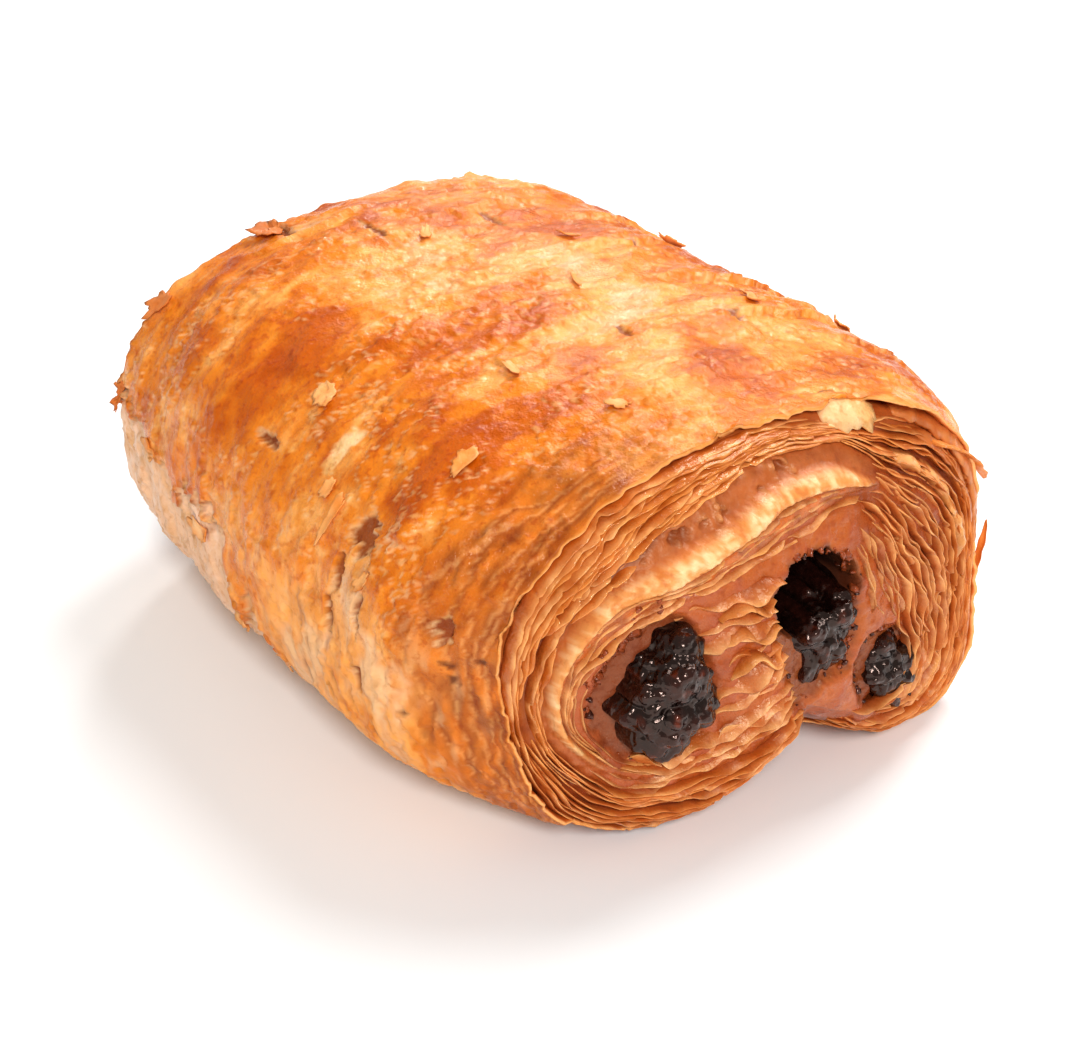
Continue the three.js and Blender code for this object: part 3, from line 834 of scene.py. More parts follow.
def hollows(end, flat, x, z, height, tint):
    """Sinks the pocket and the holes of the batons into the face, paints the pocket near black as shade, and
    darkens the dough round the batons.
    """
    ragged = 0.6 * noise(flat, 1.6, 16) + 1.1 * noise(flat, 4.2, 17)
    pocket = within(POCKET, x, z) + ragged
    hollow = ramp(-0.3, 1.3, pocket)
    height = height - POCKET_DEPTH[end.side] * hollow
    # Painted shade: the pocket is filled in near black.
    tint = mix(tint, POCKET_SHADE, ramp(-1.3, 0.6, pocket))
    for baton in BATONS:
        near = within(baton, x, z)
        height = height - 1.3 * ramp(-1.6, 0.6, near)
        stain = ramp(-1.3, 0.5, near + 1.2 * noise(flat, 1.6, 13))
        tint = mix(tint, BROWN * 0.45, 0.6 * stain)
    return height, tint, pocket


def make_face(end, material, name):
    columns, rows = FACE_GRIDS[end.side]
    angle = np.linspace(0, 2 * math.pi, columns, endpoint=False)
    share = np.linspace(FACE_RIM, FACE_CENTRE, rows)[:, None]
    x, z = end.plan(angle[None, :], share)
    height, tint, gloss = face_finish(end, x, z)
    face = end.place(x, z, height)
    rim = face[0].copy()
    back = np.stack([rim, rim])
    back[1, :, 1] -= end.side * FACE_DEPTH
    back[0, :, 0] = CORE_X + (rim[:, 0] - CORE_X) * FACE_ROOT_SHARE
    back[0, :, 1] = end.side * FACE_ROOT_Y
    back[0, :, 2] = CORE_HEIGHT + (rim[:, 2] - CORE_HEIGHT) * FACE_ROOT_SHARE
    rings = np.concatenate([back, face])
    rings[..., 2] = np.maximum(rings[..., 2], 0.05)
    tints = np.concatenate([np.broadcast_to(LAYER_FACE, back.shape), tint])
    shine = np.concatenate([np.zeros(back.shape[:2]), gloss])
    builder = Builder()
    builder.tube(rings, tints, shine, flip=end.side < 0)
    builder.build(name, material, "pastry", "pastry")


# The loose layers.

# The spacing of points along a layer, coarser at the far end.
NEAR_STEP = 0.42
FAR_STEP = NEAR_STEP * 1.8


class Sheets:
    """Thin layers of dough that follow lines on an end face and stand out from it."""

    def __init__(self, end, seed, step):
        self.end = end
        self.step = step
        self.random = np.random.default_rng(seed)
        self.builder = Builder()

    def add(self, line, front=0.0, pitch=0.7, tip=0.2, apex=0.0, depth=2.2, rough=0.3, wave=0.3, lean=0.25,
            curl=0.0, torn=1.0, gloss=0.3, edge=LAYER_EDGE_HIGHLIGHT, face=LAYER_FACE, deep=GROOVE_SHADE):
        """One layer: a wedge that fills its pitch at the back and narrows to a ragged edge in front."""
        line = np.asarray(line, float)
        length = np.concatenate([[0], np.cumsum(np.linalg.norm(np.diff(line, axis=0), axis=1))])
        count = max(8, int(length[-1] / self.step))
        at = np.linspace(0, length[-1], count)
        path = np.stack([np.interp(at, length, line[:, k]) for k in range(2)], -1)
        front, pitch, apex, gloss = (
            np.interp(at, length, np.broadcast_to(value, len(line))) for value in (front, pitch, apex, gloss))
        key = self.random.uniform(0, 900)
        strip = np.stack([at, np.full(count, key), np.zeros(count)], -1)
        along = np.gradient(path, axis=0)
        along /= np.maximum(np.linalg.norm(along, axis=1, keepdims=True), 1e-9)
        normal = np.stack([along[:, 1], -along[:, 0]], -1)
        place = np.stack([path[:, 0], path[:, 1], np.full(count, 5.0 * self.end.seed)], -1)
        bend = 0.4 * noise(place, 9, 1) + 0.12 * noise(place, 3.4, 2) + 0.6 * wave * noise(strip, 4, 2)
        path = path + normal * bend[:, None]
        slow = noise(strip, 11, 9)
        ragged = rough * (0.9 * slow + 0.6 * noise(strip, 3.4, 3) + 0.45 * noise(strip, 1.2, 4))
        chip = ramp(0.3, 0.5, noise(strip, 4.0, 5) + 0.3 * noise(strip, 0.9, 6)) * 1.8 * rough * torn
        front = front + ragged - chip
        body = ramp(0, 2.5, at) * ramp(0, 2.5, length[-1] - at)
        front = front - (1 - body) * 1.1
        pitch = pitch * (0.3 + 0.7 * body)
        tip = tip * (0.5 + 0.5 * body) * (1 + 0.4 * noise(strip, 1.5, 7))
        swing = pitch * (apex + lean * 2 * noise(strip, 4, 8)) + curl * body * (0.6 + noise(strip, 5, 10))
        # Shares of the pitch, the tip and the swing, then the distance behind the front, and how pale, as a
        # painted highlight on the front edge.
        section = [
            (0.52, 0, 0, depth, 0), (0.48, 0, 0, 1.5, 0), (0.15, 0.4, 0.4, 0.7, 0.1),
            (0, 0.5, 1, 0.06, 0.8), (0, 0, 1.06, -0.02, 1), (0, -0.5, 1, 0.06, 0.8),
            (-0.15, -0.4, 0.45, 0.8, 0.1), (-0.48, 0, 0, 1.5, 0), (-0.52, 0, 0, depth, 0),
        ]
        tone = 0.5 + 0.5 * noise(strip, 4, 8)
        lit = np.clip(0.55 + 0.9 * noise(strip, 2.5, 11), 0.1, 1)
        skin = mix(face, face * 0.7, np.clip(tone, 0, 1))
        rings = []
        tints = []
        for wide, thin, swung, back, pale in section:
            shift = wide * pitch + thin * tip + swung * swing
            place = path + normal * shift[:, None]
            rings.append(self.end.place(place[:, 0], place[:, 1], front - back))
            # The front edge is paler where the noise in lit allows, partly a painted highlight, and the layer
            # darkens behind the front with painted shade.
            colour = mix(skin, edge, pale * lit)
            tints.append(mix(colour, deep, np.full(count, 0.85 * ramp(0.5, 1.5, back))))
        rings = np.stack(rings, 1)
        tints = np.stack(tints, 1)
        rings[..., 2] = np.maximum(rings[..., 2], 0.1)
        shine = np.broadcast_to(gloss[:, None], rings.shape[:2])
        self.builder.tube(rings, tints, shine, flip=self.end.side > 0)

    def build(self, name, material):
        self.builder.build(name, material, "pastry", "pastry")


def arc_line(end, start, stop, share_at, count=260):
    """A line round the core, from one angle in degrees to another."""
    degrees = np.linspace(start, stop, count)
    angle = np.radians(degrees)
    x, z = end.plan(angle, share_at(degrees))
    return np.stack([x, z], -1), degrees


def between(lower, upper, share, count=60):
    """A line part of the way between two others."""
    t = np.linspace(0, 1, count)

    def sample(line):
        line = np.asarray(line, float)
        knots = np.linspace(0, 1, len(line))
        return np.stack([through(knots, line[:, 0], t), through(knots, line[:, 1], t)], -1)

    return sample(lower) * (1 - share) + sample(upper) * share


def lip_gap(degrees):
    """The crust stands off the layers at the upper right."""
    return 1.3 * np.exp(-((degrees - 56) / 26) ** 2)


THIN_LAYERS = 13


def outer_margin(degrees):
    """How far inside the outline the outermost layer lies: further under the loose lip at the upper right."""
    return 0.022 + 0.045 * np.exp(-((degrees - 60) / 14) ** 2)


def thin_layers(end, sheets):
    """The thin layers just under the crust, all the way round from one side of the notch to the other."""
    random = sheets.random
    for k in range(THIN_LAYERS):
        along = (k + 0.4 + random.uniform(-0.25, 0.25)) / THIN_LAYERS

        def share_at(degrees, along=along, k=k):
            thin = through(THIN_ANGLES, THIN_INNER, degrees)
            ring = np.stack([degrees, np.full_like(degrees, 40.0 * k), np.zeros_like(degrees)], -1)
            drift = 1.0 / THIN_LAYERS * noise(ring, 30, 5 + end.seed)
            outermost = 1 - outer_margin(degrees)
            return outermost - (outermost - thin) * np.clip(along + drift, 0.01, 1.0)

        line, degrees = arc_line(end, -58 + random.uniform(0, 8), 294 - random.uniform(0, 6), share_at, 620)
        gap = lip_gap(degrees) * max(0, 1 - along * 2.2)
        upper_left = ramp(68, 100, degrees) * ramp(205, 175, degrees)
        inner = through(THIN_ANGLES, THIN_INNER, degrees)
        pitch = (1 - outer_margin(degrees) - inner) * end.radius(np.radians(degrees)) / THIN_LAYERS
        ring = np.stack([degrees, np.full_like(degrees, 70.0 * k + end.seed), np.zeros_like(degrees)], -1)
        hidden = (1.5 + upper_left) * ramp(0.15, 0.45, noise(ring, 34, 9))
        front = 0.15 + random.uniform(-0.45, 0.35) - gap - hidden + upper_left * (0.7 - 0.9 * along)
        sheets.add(line, front=front, pitch=pitch * 1.3, tip=0.15, apex=-0.1 - 0.3 * upper_left, depth=2.2,
                   rough=0.3 + 0.2 * random.random(), wave=0.16, lean=0.4, gloss=0.35 + 0.65 * upper_left,
                   edge=mix(LAYER_EDGE_HIGHLIGHT, AMBER, random.uniform(0, 0.6)),
                   face=mix(LAYER_FACE, DARK_AMBER, random.uniform(0, 0.8)))


# Broad layers: the share of the radius, how far it stands out, from and to in degrees, and width.
BARE_PATCH = [(0.962, 0.4, 51.5, 67, 3.0), (0.93, -0.1, 52, 68, 0.6)]
OUTER_BAND = [(0.972, 0.2, -34, 46, 2.0), (0.915, -0.1, -20, 40, 1.3)]
# Rims: the share of the way from the puffy band to the sheet's edge, how far it stands out, and the start.
BAND_RIMS = [(0.0, 0.1, 60), (0.35, -0.4, 56), (0.7, -0.7, 64), (1.0, -0.5, 54), (1.12, -0.9, 70)]


def level_line(end, start, stop, share, count=260):
    """A line round the core at one share of the radius."""
    return arc_line(end, start, stop, lambda degrees: np.full_like(degrees, share), count)[0]


def bare_patch(end, sheets):
    """Pale dough that shows where the crust is torn away at the upper right."""
    for share, front, start, stop, width in BARE_PATCH:
        line = level_line(end, start, stop, share, 60)
        sheets.add(line, front=front, pitch=width * 1.1, tip=width, depth=2.5, rough=0.1, wave=0.1,
                   torn=0.0, lean=0.05, edge=CREAM, face=mix(CREAM, GOLD, 0.4), deep=AMBER, gloss=0.5)


def outer_band(end, sheets):
    """The broad pale edge of the outermost wrap, down the right side."""
    for share, front, start, stop, width in OUTER_BAND:
        line = level_line(end, start, stop, share)
        sheets.add(line, front=front, pitch=width * 1.2, tip=width, depth=2.2, rough=0.4, wave=0.3,
                   torn=0.5, lean=0.1, edge=mix(PUFF, LAYER_FACE, 0.35), gloss=0.3)


def band_rims(end, sheets):
    """Edges where the puffy band ends and where the grey sheet breaks off."""
    for share, front, start in BAND_RIMS:
        def share_at(degrees, share=share):
            inner = through(PUFF_ANGLES, PUFF_INNER, degrees) - 0.006
            return inner + (through(PUFF_ANGLES, SHEET_INNER, degrees) - inner) * share

        line = arc_line(end, start, 200 - 12 * share, share_at)[0]
        sheets.add(line, front=front, pitch=0.9, tip=0.2, apex=-0.2, depth=1.8, rough=0.4, wave=0.4,
                   face=mix(SHEET_GREY, LAYER_FACE, share * 0.6), gloss=0.5)


# Layers in each of the two groups on the right, and those beside the pocket and round the left baton.
RIGHT_LAYERS = 7
CORE_LAYERS = 6
EYE_LAYERS = 6


def right_layers(end, sheets):
    """Ragged layers that fan out on the right, from the tip of the puffy band down to the notch."""
    random = sheets.random
    for low in range(2):
        for k in range(RIGHT_LAYERS):
            share = (k + 0.5 + random.uniform(-0.3, 0.3)) / RIGHT_LAYERS

            def share_at(degrees, share=share):
                thin = through(THIN_ANGLES, THIN_INNER, degrees)
                middle = through(RIGHT_ANGLES, RIGHT_MIDDLE, degrees)
                inner = through(RIGHT_ANGLES, RIGHT_INNER, degrees)
                outer, goal = (thin, middle) if low == 0 else (middle, inner)
                return outer + (goal - outer) * share

            start = -54 + random.uniform(0, 20) + 8 * low
            stop = 58 - random.uniform(0, 16)
            line = arc_line(end, start, stop, share_at)[0]
            sheets.add(line, front=0.1 + random.uniform(-0.9, 0.6), pitch=1.15, tip=0.15, depth=2.2,
                       rough=0.6, wave=0.5, lean=0.4, curl=random.uniform(-0.2, 0.5), gloss=0.35,
                       face=mix(LAYER_FACE, EYE_WALL, random.uniform(0, 0.6)))
    line = arc_line(end, 4, 50, lambda degrees: 0.80 + 0.0006 * (degrees - 4))[0]
    sheets.add(line, front=0.3, pitch=2.2, tip=0.8, depth=2.0, rough=0.6, wave=0.3, torn=0.8,
               edge=LAYER_EDGE_HIGHLIGHT, face=PUFF, gloss=0.4)


CORE_LINES = [
    [(8.4, 42.2), (10.4, 37.0), (11.2, 31.0), (11.0, 26.4)],
    [(12.6, 43.0), (15.0, 36.7), (18.2, 29.5), (21.5, 22.6)],
]


def core_layers(sheets):
    """Smooth brown layers between the pocket and the ragged ones on the right."""
    random = sheets.random
    for k in range(CORE_LAYERS):
        share = (k + random.uniform(0.1, 0.7)) / CORE_LAYERS
        line = between(CORE_LINES[0], CORE_LINES[1], share)
        first = random.integers(0, 12)
        line = line[first:len(line) - random.integers(0, 14)]
        sheets.add(line, front=random.uniform(-1.1, -0.2), pitch=1.7, tip=0.14,
                   apex=random.uniform(-0.3, 0.3), depth=1.6, rough=0.4, wave=0.35, lean=0.3, torn=0.5,
                   gloss=0.5, face=mix(CORE_DOUGH, EYE_WALL, random.uniform(0, 0.8)), edge=LAYER_EDGE_HIGHLIGHT * 0.85)


def fan_layers(sheets):
    """Wavy layers between the left baton, the pocket and the notch."""
    random = sheets.random
    for k, count in enumerate(FAN_COUNTS):
        low = between(FAN_LINES[k], FAN_LINES[k + 1], 0)
        high = between(FAN_LINES[k], FAN_LINES[k + 1], 1)
        gap = np.linalg.norm(high - low, axis=1)
        for n in range(count):
            share = (n + random.uniform(0.0, 0.7)) / count
            line = low * (1 - share) + high * share
            rise = np.linspace(-0.7, 0.9, len(line)) * random.uniform(0.4, 1.4)
            pitch = np.clip(gap / count * 1.2, 0.7, 2.8)
            sheets.add(line, front=rise + random.uniform(-1.2, 0.5), pitch=pitch, tip=0.17, depth=2.6,
                       rough=0.5, wave=0.7, lean=0.5, curl=random.uniform(-0.3, 0.9), torn=0.4,
                       edge=mix(LAYER_EDGE_HIGHLIGHT, CREAM, 0.3), gloss=0.5)
    for line in FLAPS:
        sheets.add(between(line, line, 0), front=0.9, pitch=1.2, tip=0.2, depth=3.2, rough=0.6, wave=0.4,
                   lean=0.3, curl=0.4, torn=0.7, face=mix(LAYER_FACE, GOLD, 0.3), gloss=0.5)


def eye_layers(end, sheets):
    """Rings of layers round the left baton, in the wall of its hollow."""
    random = sheets.random
    for k in range(EYE_LAYERS):
        start = 96 + 6 * k + random.uniform(0, 30)
        stop = 320 - 8 * k - random.uniform(0, 24)
        angle = np.radians(np.linspace(start, stop, 120))
        radius = outline_radius(LEFT_BATON, angle) + 1.0 + 1.05 * k
        x = LEFT_BATON["x"] + radius * np.cos(angle)
        z = LEFT_BATON["z"] + radius * np.sin(angle)
        core_angle, share = end.polar(x, z)
        sheet, shown = band_shares(core_angle)[-2:]
        line = np.stack([x, z], -1)[share < np.where(shown > 0.5, sheet, 0.82)]
        if len(line) > 12:
            sheets.add(line, front=-0.9 + 0.22 * k, pitch=1.1, tip=0.14, apex=0.2, depth=1.5, rough=0.35,
                       wave=0.3, torn=0.5, face=mix(EYE_WALL, CORE_DOUGH, 0.15 * k), edge=LAYER_EDGE_HIGHLIGHT * 0.85,
                       gloss=0.5)


# The chocolate.

BATON_ROUNDING = {-1: 5.4, 1: 3.4}
BATON_SIDES = 170
CAP_ROWS = 46
# The melted middle baton has sunk away above this line, and left the pocket open.
SUNK_HEIGHT = 30.6
SUNK_SLOPE = 0.45
SUNK_DEPTH = 11.0


def baton_cap(baton, side):
    """Rows from the tip of a baton to its shaft, crumbly and wet looking."""
    tip = baton["near_tip"] if side < 0 else baton["far_tip"]
    shift_x, shift_z, grown = baton["slump"]
    angle = np.linspace(0, 2 * math.pi, BATON_SIDES, endpoint=False)
    turn = (np.linspace(0.03, 1, CAP_ROWS) * math.pi / 2)[:, None]
    radius = np.sin(turn) ** 0.85 * (outline_radius(baton, angle) + grown)
    x = baton["x"] + shift_x + radius * np.cos(angle)
    z = baton["z"] + shift_z + radius * np.sin(angle)
    y = np.broadcast_to(tip - side * BATON_ROUNDING[side] * (1 - np.cos(turn)), x.shape)
    points = np.stack([x, y, z], -1)
    key = int(abs(baton["x"]) * 10)
    large = crumbs(points, 4.0, key)
    fine = crumbs(points, 1.9, key + 1)
    tiny = crumbs(points, 0.8, key + 2)
    lumps = 2.0 * (0.5 - large) + 0.9 * (0.45 - fine) + 0.14 * (0.4 - tiny) + 0.7 * fractal(points, 5, 3, key)
    outward = np.sin(turn)
    forward = side * np.cos(turn) * np.ones_like(x)
    direction = np.stack([outward * np.cos(angle), forward, outward * np.sin(angle)], -1)
    points = points + direction * (lumps * 1.05 - 0.2)[..., None]
    # Painted shade: the crevices between lumps are darker and less glossy.
    crevice_shade = np.clip(0.6 * ramp(0.25, 0.7, large) + 0.6 * ramp(0.25, 0.7, fine), 0, 1)
    if baton is MIDDLE_BATON:
        above = z - SUNK_HEIGHT - SUNK_SLOPE * x + 0.8 * noise(points, 2.5, 3)
        sunk = ramp(-0.6, 2.6, above)
        points[..., 1] -= side * SUNK_DEPTH * sunk
        # The sunk face of the middle baton takes the same painted shade.
        crevice_shade = np.maximum(crevice_shade, sunk)
    return points, crevice_shade


def make_baton(baton, material):
    near, near_crevice_shade = baton_cap(baton, -1)
    far, far_crevice_shade = baton_cap(baton, 1)
    rings = np.concatenate([near, far[::-1]])
    crevice_shade = np.concatenate([near_crevice_shade, far_crevice_shade[::-1]])
    # Painted shade: near black in the crevices.
    tint = mix(CHOCOLATE_LIGHT, CHOCOLATE_CREVICE_SHADE, crevice_shade)
    rusty = ramp(0.4, 0.75, noise(rings, 1.8, 33)) * (1 - crevice_shade)
    tint = mix(tint, CHOCOLATE_RED, 0.55 * rusty)
    builder = Builder()
    builder.tube(rings, tint, 1 - 0.6 * crevice_shade)
    builder.build(baton["node"] + "_baked", material, "chocolate", baton["node"])


# Crumbs round the chocolate: the outline, from and to in degrees, spread, count, and share of red ones.
CRUMB_ARCS = [
    (LEFT_BATON, 84, 168, 1.4, 60, 0.9), (LEFT_BATON, 0, 70, 0.4, 12, 0.5),
    (LEFT_BATON, 180, 340, 0.3, 14, 0.5), (POCKET, -30, 110, 0.6, 44, 0.7),
    (MIDDLE_BATON, 215, 380, 0.4, 26, 0.5), (RIGHT_BATON, 0, 360, 0.4, 30, 0.4),
]
CRUMB_RINGS = 5
CRUMB_SIDES = 9


def make_crumbs(end, material, name):
    """Small lumps of chocolate and caramelised dough that stick to the dough near the batons."""
    random = np.random.default_rng(SEED + 50 + end.seed)
    builder = Builder()
    angle = np.linspace(0, 2 * math.pi, CRUMB_SIDES, endpoint=False)
    turn = np.linspace(0.15, 0.85, CRUMB_RINGS)[:, None] * math.pi
    wide = np.sin(turn)
    shape = np.stack([wide * np.cos(angle), wide * np.sin(angle), np.cos(turn) * np.ones_like(angle)], -1)
    for outline, start, stop, spread, count, red_share in CRUMB_ARCS:
        for _ in range(count):
            place = math.radians(random.uniform(start, stop))
            radius = outline_radius(outline, np.array([place]))[0] + abs(random.normal(0, spread)) - 0.2
            x = outline["x"] + radius * math.cos(place)
            z = outline["z"] + radius * math.sin(place)
            size = random.uniform(0.16, 0.5) * random.uniform(0.6, 1.4)
            spot = [np.array([x]), np.array([z])]
            if within(POCKET, x, z) > 0.6:
                continue
            centre = end.place(*spot, face_finish(end, *spot)[0])[0]
            lump = shape * size * (1 + 0.8 * noise(shape + random.uniform(0, 50, 3), 0.8, 4)[..., None])
            lump = lump * random.uniform(0.5, 1.5, 3)
            red = random.random() < red_share
            colour = CRUMB_RED if red else CRUMB_DARK
            builder.tube(centre + lump, colour, np.full(shape.shape[:2], 0.8), flip=True)
    builder.build(name, material, "chocolate")


# Loose flakes on the crust.

# Degrees, y, half length round the roll, half width along it, turn in degrees, and lift.
LOOSE_FLAKES = [
    (143.5, 1.2, 1.5, 2.4, 25, 0.5), (155.5, -12, 1.2, 1.1, 0, 0.5), (158.6, -15, 3.4, 0.9, 8, 0.7),
    (138.3, -28.5, 2.4, 1.0, -20, 0.6), (116.9, -18.3, 0.55, 2.3, 10, 0.6), (164.4, -25.4, 1.6, 0.8, 20, 0.6),
    (199.0, 1.0, 2.4, 2.0, 10, 0.8), (196.0, 10.0, 1.8, 1.5, -25, 0.7), (181.0, 18, 1.4, 2.6, 5, 0.5),
    (174.0, 34, 1.4, 3.0, -6, 0.6), (121.0, 46.5, 2.0, 3.2, 20, 1.1), (150, 47.5, 2.2, 2.4, -30, 1.0),
    (171, 48, 2.6, 0.7, 5, 1.0), (80, -2, 0.5, 2.0, 20, 0.4), (66, 12, 0.7, 2.2, -15, 0.5),
    (52, -18, 0.9, 2.4, 10, 0.5), (95, 24, 0.8, 1.8, 35, 0.4), (108, -34, 1.1, 1.6, -30, 0.4),
    (40, 10, 1.2, 2.6, 0, 0.7), (30, -20, 1.4, 2.4, 15, 0.6), (22, 22, 1.6, 2.2, -10, 0.7),
]
FLAKE_RINGS = 5
FLAKE_SIDES = 26
# Flakes past this y, at the far end, are darker.
FAR_FLAKES_Y = 40


def flake(builder, degrees, y, length, width, turn, lift, key):
    """One thin curled flake that lies on the crust."""
    middle = math.radians(degrees)
    spin = math.radians(turn)
    angle = np.linspace(0, 2 * math.pi, FLAKE_SIDES, endpoint=False)
    circle = np.stack([np.cos(angle) * 2, np.sin(angle) * 2, np.full(FLAKE_SIDES, 7.0 * key)], -1)
    reach = 1 + 0.45 * noise(circle, 1.3, 1) + 0.4 * noise(circle, 0.55, 2)
    share = np.linspace(0.08, 1, FLAKE_RINGS)[:, None]
    u = share * reach * np.cos(angle) * length
    v = share * reach * np.sin(angle) * width
    round_way = u * math.cos(spin) - v * math.sin(spin)
    along_way = u * math.sin(spin) + v * math.cos(spin)
    base = section_radius(middle, y) + crust_swell(middle, y)
    at = middle + round_way / base
    rise = 0.12 + lift * (0.5 + 0.5 * u / length) ** 2 + 0.35 * (v / width) ** 2
    under = crust_point(at, y + along_way, rise)[0]
    over = crust_point(at, y + along_way, rise + 0.2)[0]
    rings = np.concatenate([over, under[::-1]])
    shade = mix(FLAKE_PALE, AMBER, np.clip(0.35 + 0.6 * noise(rings, 2, 5), 0, 1))
    shade = mix(shade, DARK_AMBER, 0.7 * (y > FAR_FLAKES_Y))
    builder.tube(rings, shade, np.full(rings.shape[:2], 0.25), flip=True)


def make_flakes(material):
    builder = Builder()
    for key, measures in enumerate(LOOSE_FLAKES):
        flake(builder, *measures, key)
    builder.build("loose_flakes", material, "pastry", "pastry")


# Blades: the line, its width along the roll and its thickness.
BLADES = [
    ([(28.6, -48.5, 46.6), (37.4, -48, 42.6), (43.6, -46.6, 34)], 8.0, 0.8),
    ([(38.6, -47.5, 12), (42.8, -48, 21), (43, -48.2, 28.2)], 2.2, 0.5),
]
BLADE_STEPS = 44
BLADE_SIDES = 9


def make_blades(material):
    """The sharp flake at the right shoulder, and the sliver under it."""
    builder = Builder()
    for key, (line, width, thick) in enumerate(BLADES):
        start, bend, stop = np.array(line, float)
        t = np.linspace(0, 0.985, BLADE_STEPS)[:, None]
        path = (1 - t) ** 2 * start + 2 * t * (1 - t) * bend + t ** 2 * stop
        along = np.gradient(path, axis=0)
        along /= np.linalg.norm(along, axis=1, keepdims=True)
        side = np.array([0, 1.0, 0])
        flat = np.cross(np.broadcast_to(side, along.shape), along)
        flat /= np.linalg.norm(flat, axis=1, keepdims=True)
        strip = np.stack([t[:, 0] * 20, np.full(BLADE_STEPS, 30.0 * key), np.zeros(BLADE_STEPS)], -1)
        taper = np.sqrt(1 - t[:, 0])
        low = -0.5 * width * taper * (1 + 0.3 * noise(strip, 2, 1))
        high = 0.5 * width * taper * (1 + 0.3 * noise(strip, 2, 2))
        across = np.linspace(0, 1, BLADE_SIDES)
        rings = []
        for sign in (1, -1):
            for share in across[::sign]:
                offset = low + (high - low) * share
                arch = np.sin(math.pi * share)
                bulge = 0.35 * arch + 0.25 * noise(strip + np.array([0, 0, share * 4]), 2.4, 3)
                half = sign * 0.5 * thick * taper * (0.35 + 0.65 * arch)
                rings.append(path + side * offset[:, None] + flat * (bulge + half)[:, None])
        rings = np.stack(rings, 1)
        tone = 0.5 + 0.5 * noise(rings, 4, 7)
        builder.tube(rings, mix(GOLD, LAYER_FACE, tone), np.full(rings.shape[:2], 0.3), flip=True)
    builder.build("loose_blades", material, "pastry", "pastry")


# Materials.

# Colours that the mottling multiplies the tint by.
DARK_MOTTLE = (0.82, 0.68, 0.42)
PIT_MOTTLE = (0.76, 0.56, 0.38)
PALE_MOTTLE = (1.05, 1.2, 1.5)
CHOCOLATE_MOTTLE = (0.35, 0.3, 0.3)
DOUGH_SHINE = (1.0, 0.82, 0.58, 1)
CHOCOLATE_SHINE = (1.0, 0.7, 0.6, 1)
# How far light goes into the dough, in metres, for red, green and blue.
DOUGH_DEPTH = (0.0012, 0.0006, 0.0003)
FLOOR_COLOUR = (0.93, 0.94, 0.935, 1)


def principled(name):
    material = bpy.data.materials.new(name)
    material.use_nodes = True
    tree = material.node_tree
    return material, tree, tree.nodes["Principled BSDF"]


def shader_noise(tree, scale, detail=4.0, stretch=(1, 1, 1)):
    """A noise texture over the piece. The scale is in features for each metre."""
    place = tree.nodes.new("ShaderNodeTexCoord")
    mapping = tree.nodes.new("ShaderNodeMapping")
    mapping.inputs["Scale"].default_value = stretch
    texture = tree.nodes.new("ShaderNodeTexNoise")
    texture.inputs["Scale"].default_value = scale
    texture.inputs["Detail"].default_value = detail
    tree.links.new(place.outputs["Object"], mapping.inputs["Vector"])
    tree.links.new(mapping.outputs["Vector"], texture.inputs["Vector"])
    return texture.outputs["Fac"]


def map_range(tree, value, low, high, to_low, to_high):
    node = tree.nodes.new("ShaderNodeMapRange")
    node.inputs["From Min"].default_value = low
    node.inputs["From Max"].default_value = high
    node.inputs["To Min"].default_value = to_low
    node.inputs["To Max"].default_value = to_high
    tree.links.new(value, node.inputs["Value"])
    return node.outputs["Result"]


def attribute(tree, name, output):
    node = tree.nodes.new("ShaderNodeAttribute")
    node.attribute_name = name
    return node.outputs[output]


def tone_shift(tree, colour, share, factor):
    """The colour, multiplied by another one where the share is high."""
    node = tree.nodes.new("ShaderNodeMix")
    node.data_type = "RGBA"
    node.blend_type = "MULTIPLY"
    tree.links.new(share, node.inputs["Factor"])
    colour_in, colour_by = [socket for socket in node.inputs if socket.type == "RGBA"]
    colour_by.default_value = (*factor, 1)
    tree.links.new(colour, colour_in)
    return [socket for socket in node.outputs if socket.type == "RGBA"][0]


def add(tree, a, b, share=1.0):
    node = tree.nodes.new("ShaderNodeMath")
    node.operation = "MULTIPLY_ADD"
    tree.links.new(b, node.inputs[0])
    node.inputs[1].default_value = share
    tree.links.new(a, node.inputs[2])
    return node.outputs["Value"]


def times(tree, a, b):
    node = tree.nodes.new("ShaderNodeMath")
    node.operation = "MULTIPLY"
    tree.links.new(a, node.inputs[0])
    tree.links.new(b, node.inputs[1])
    return node.outputs["Value"]


def bump(tree, height, distance):
    node = tree.nodes.new("ShaderNodeBump")
    node.inputs["Distance"].default_value = distance
    tree.links.new(height, node.inputs["Height"])
    return node.outputs["Normal"]


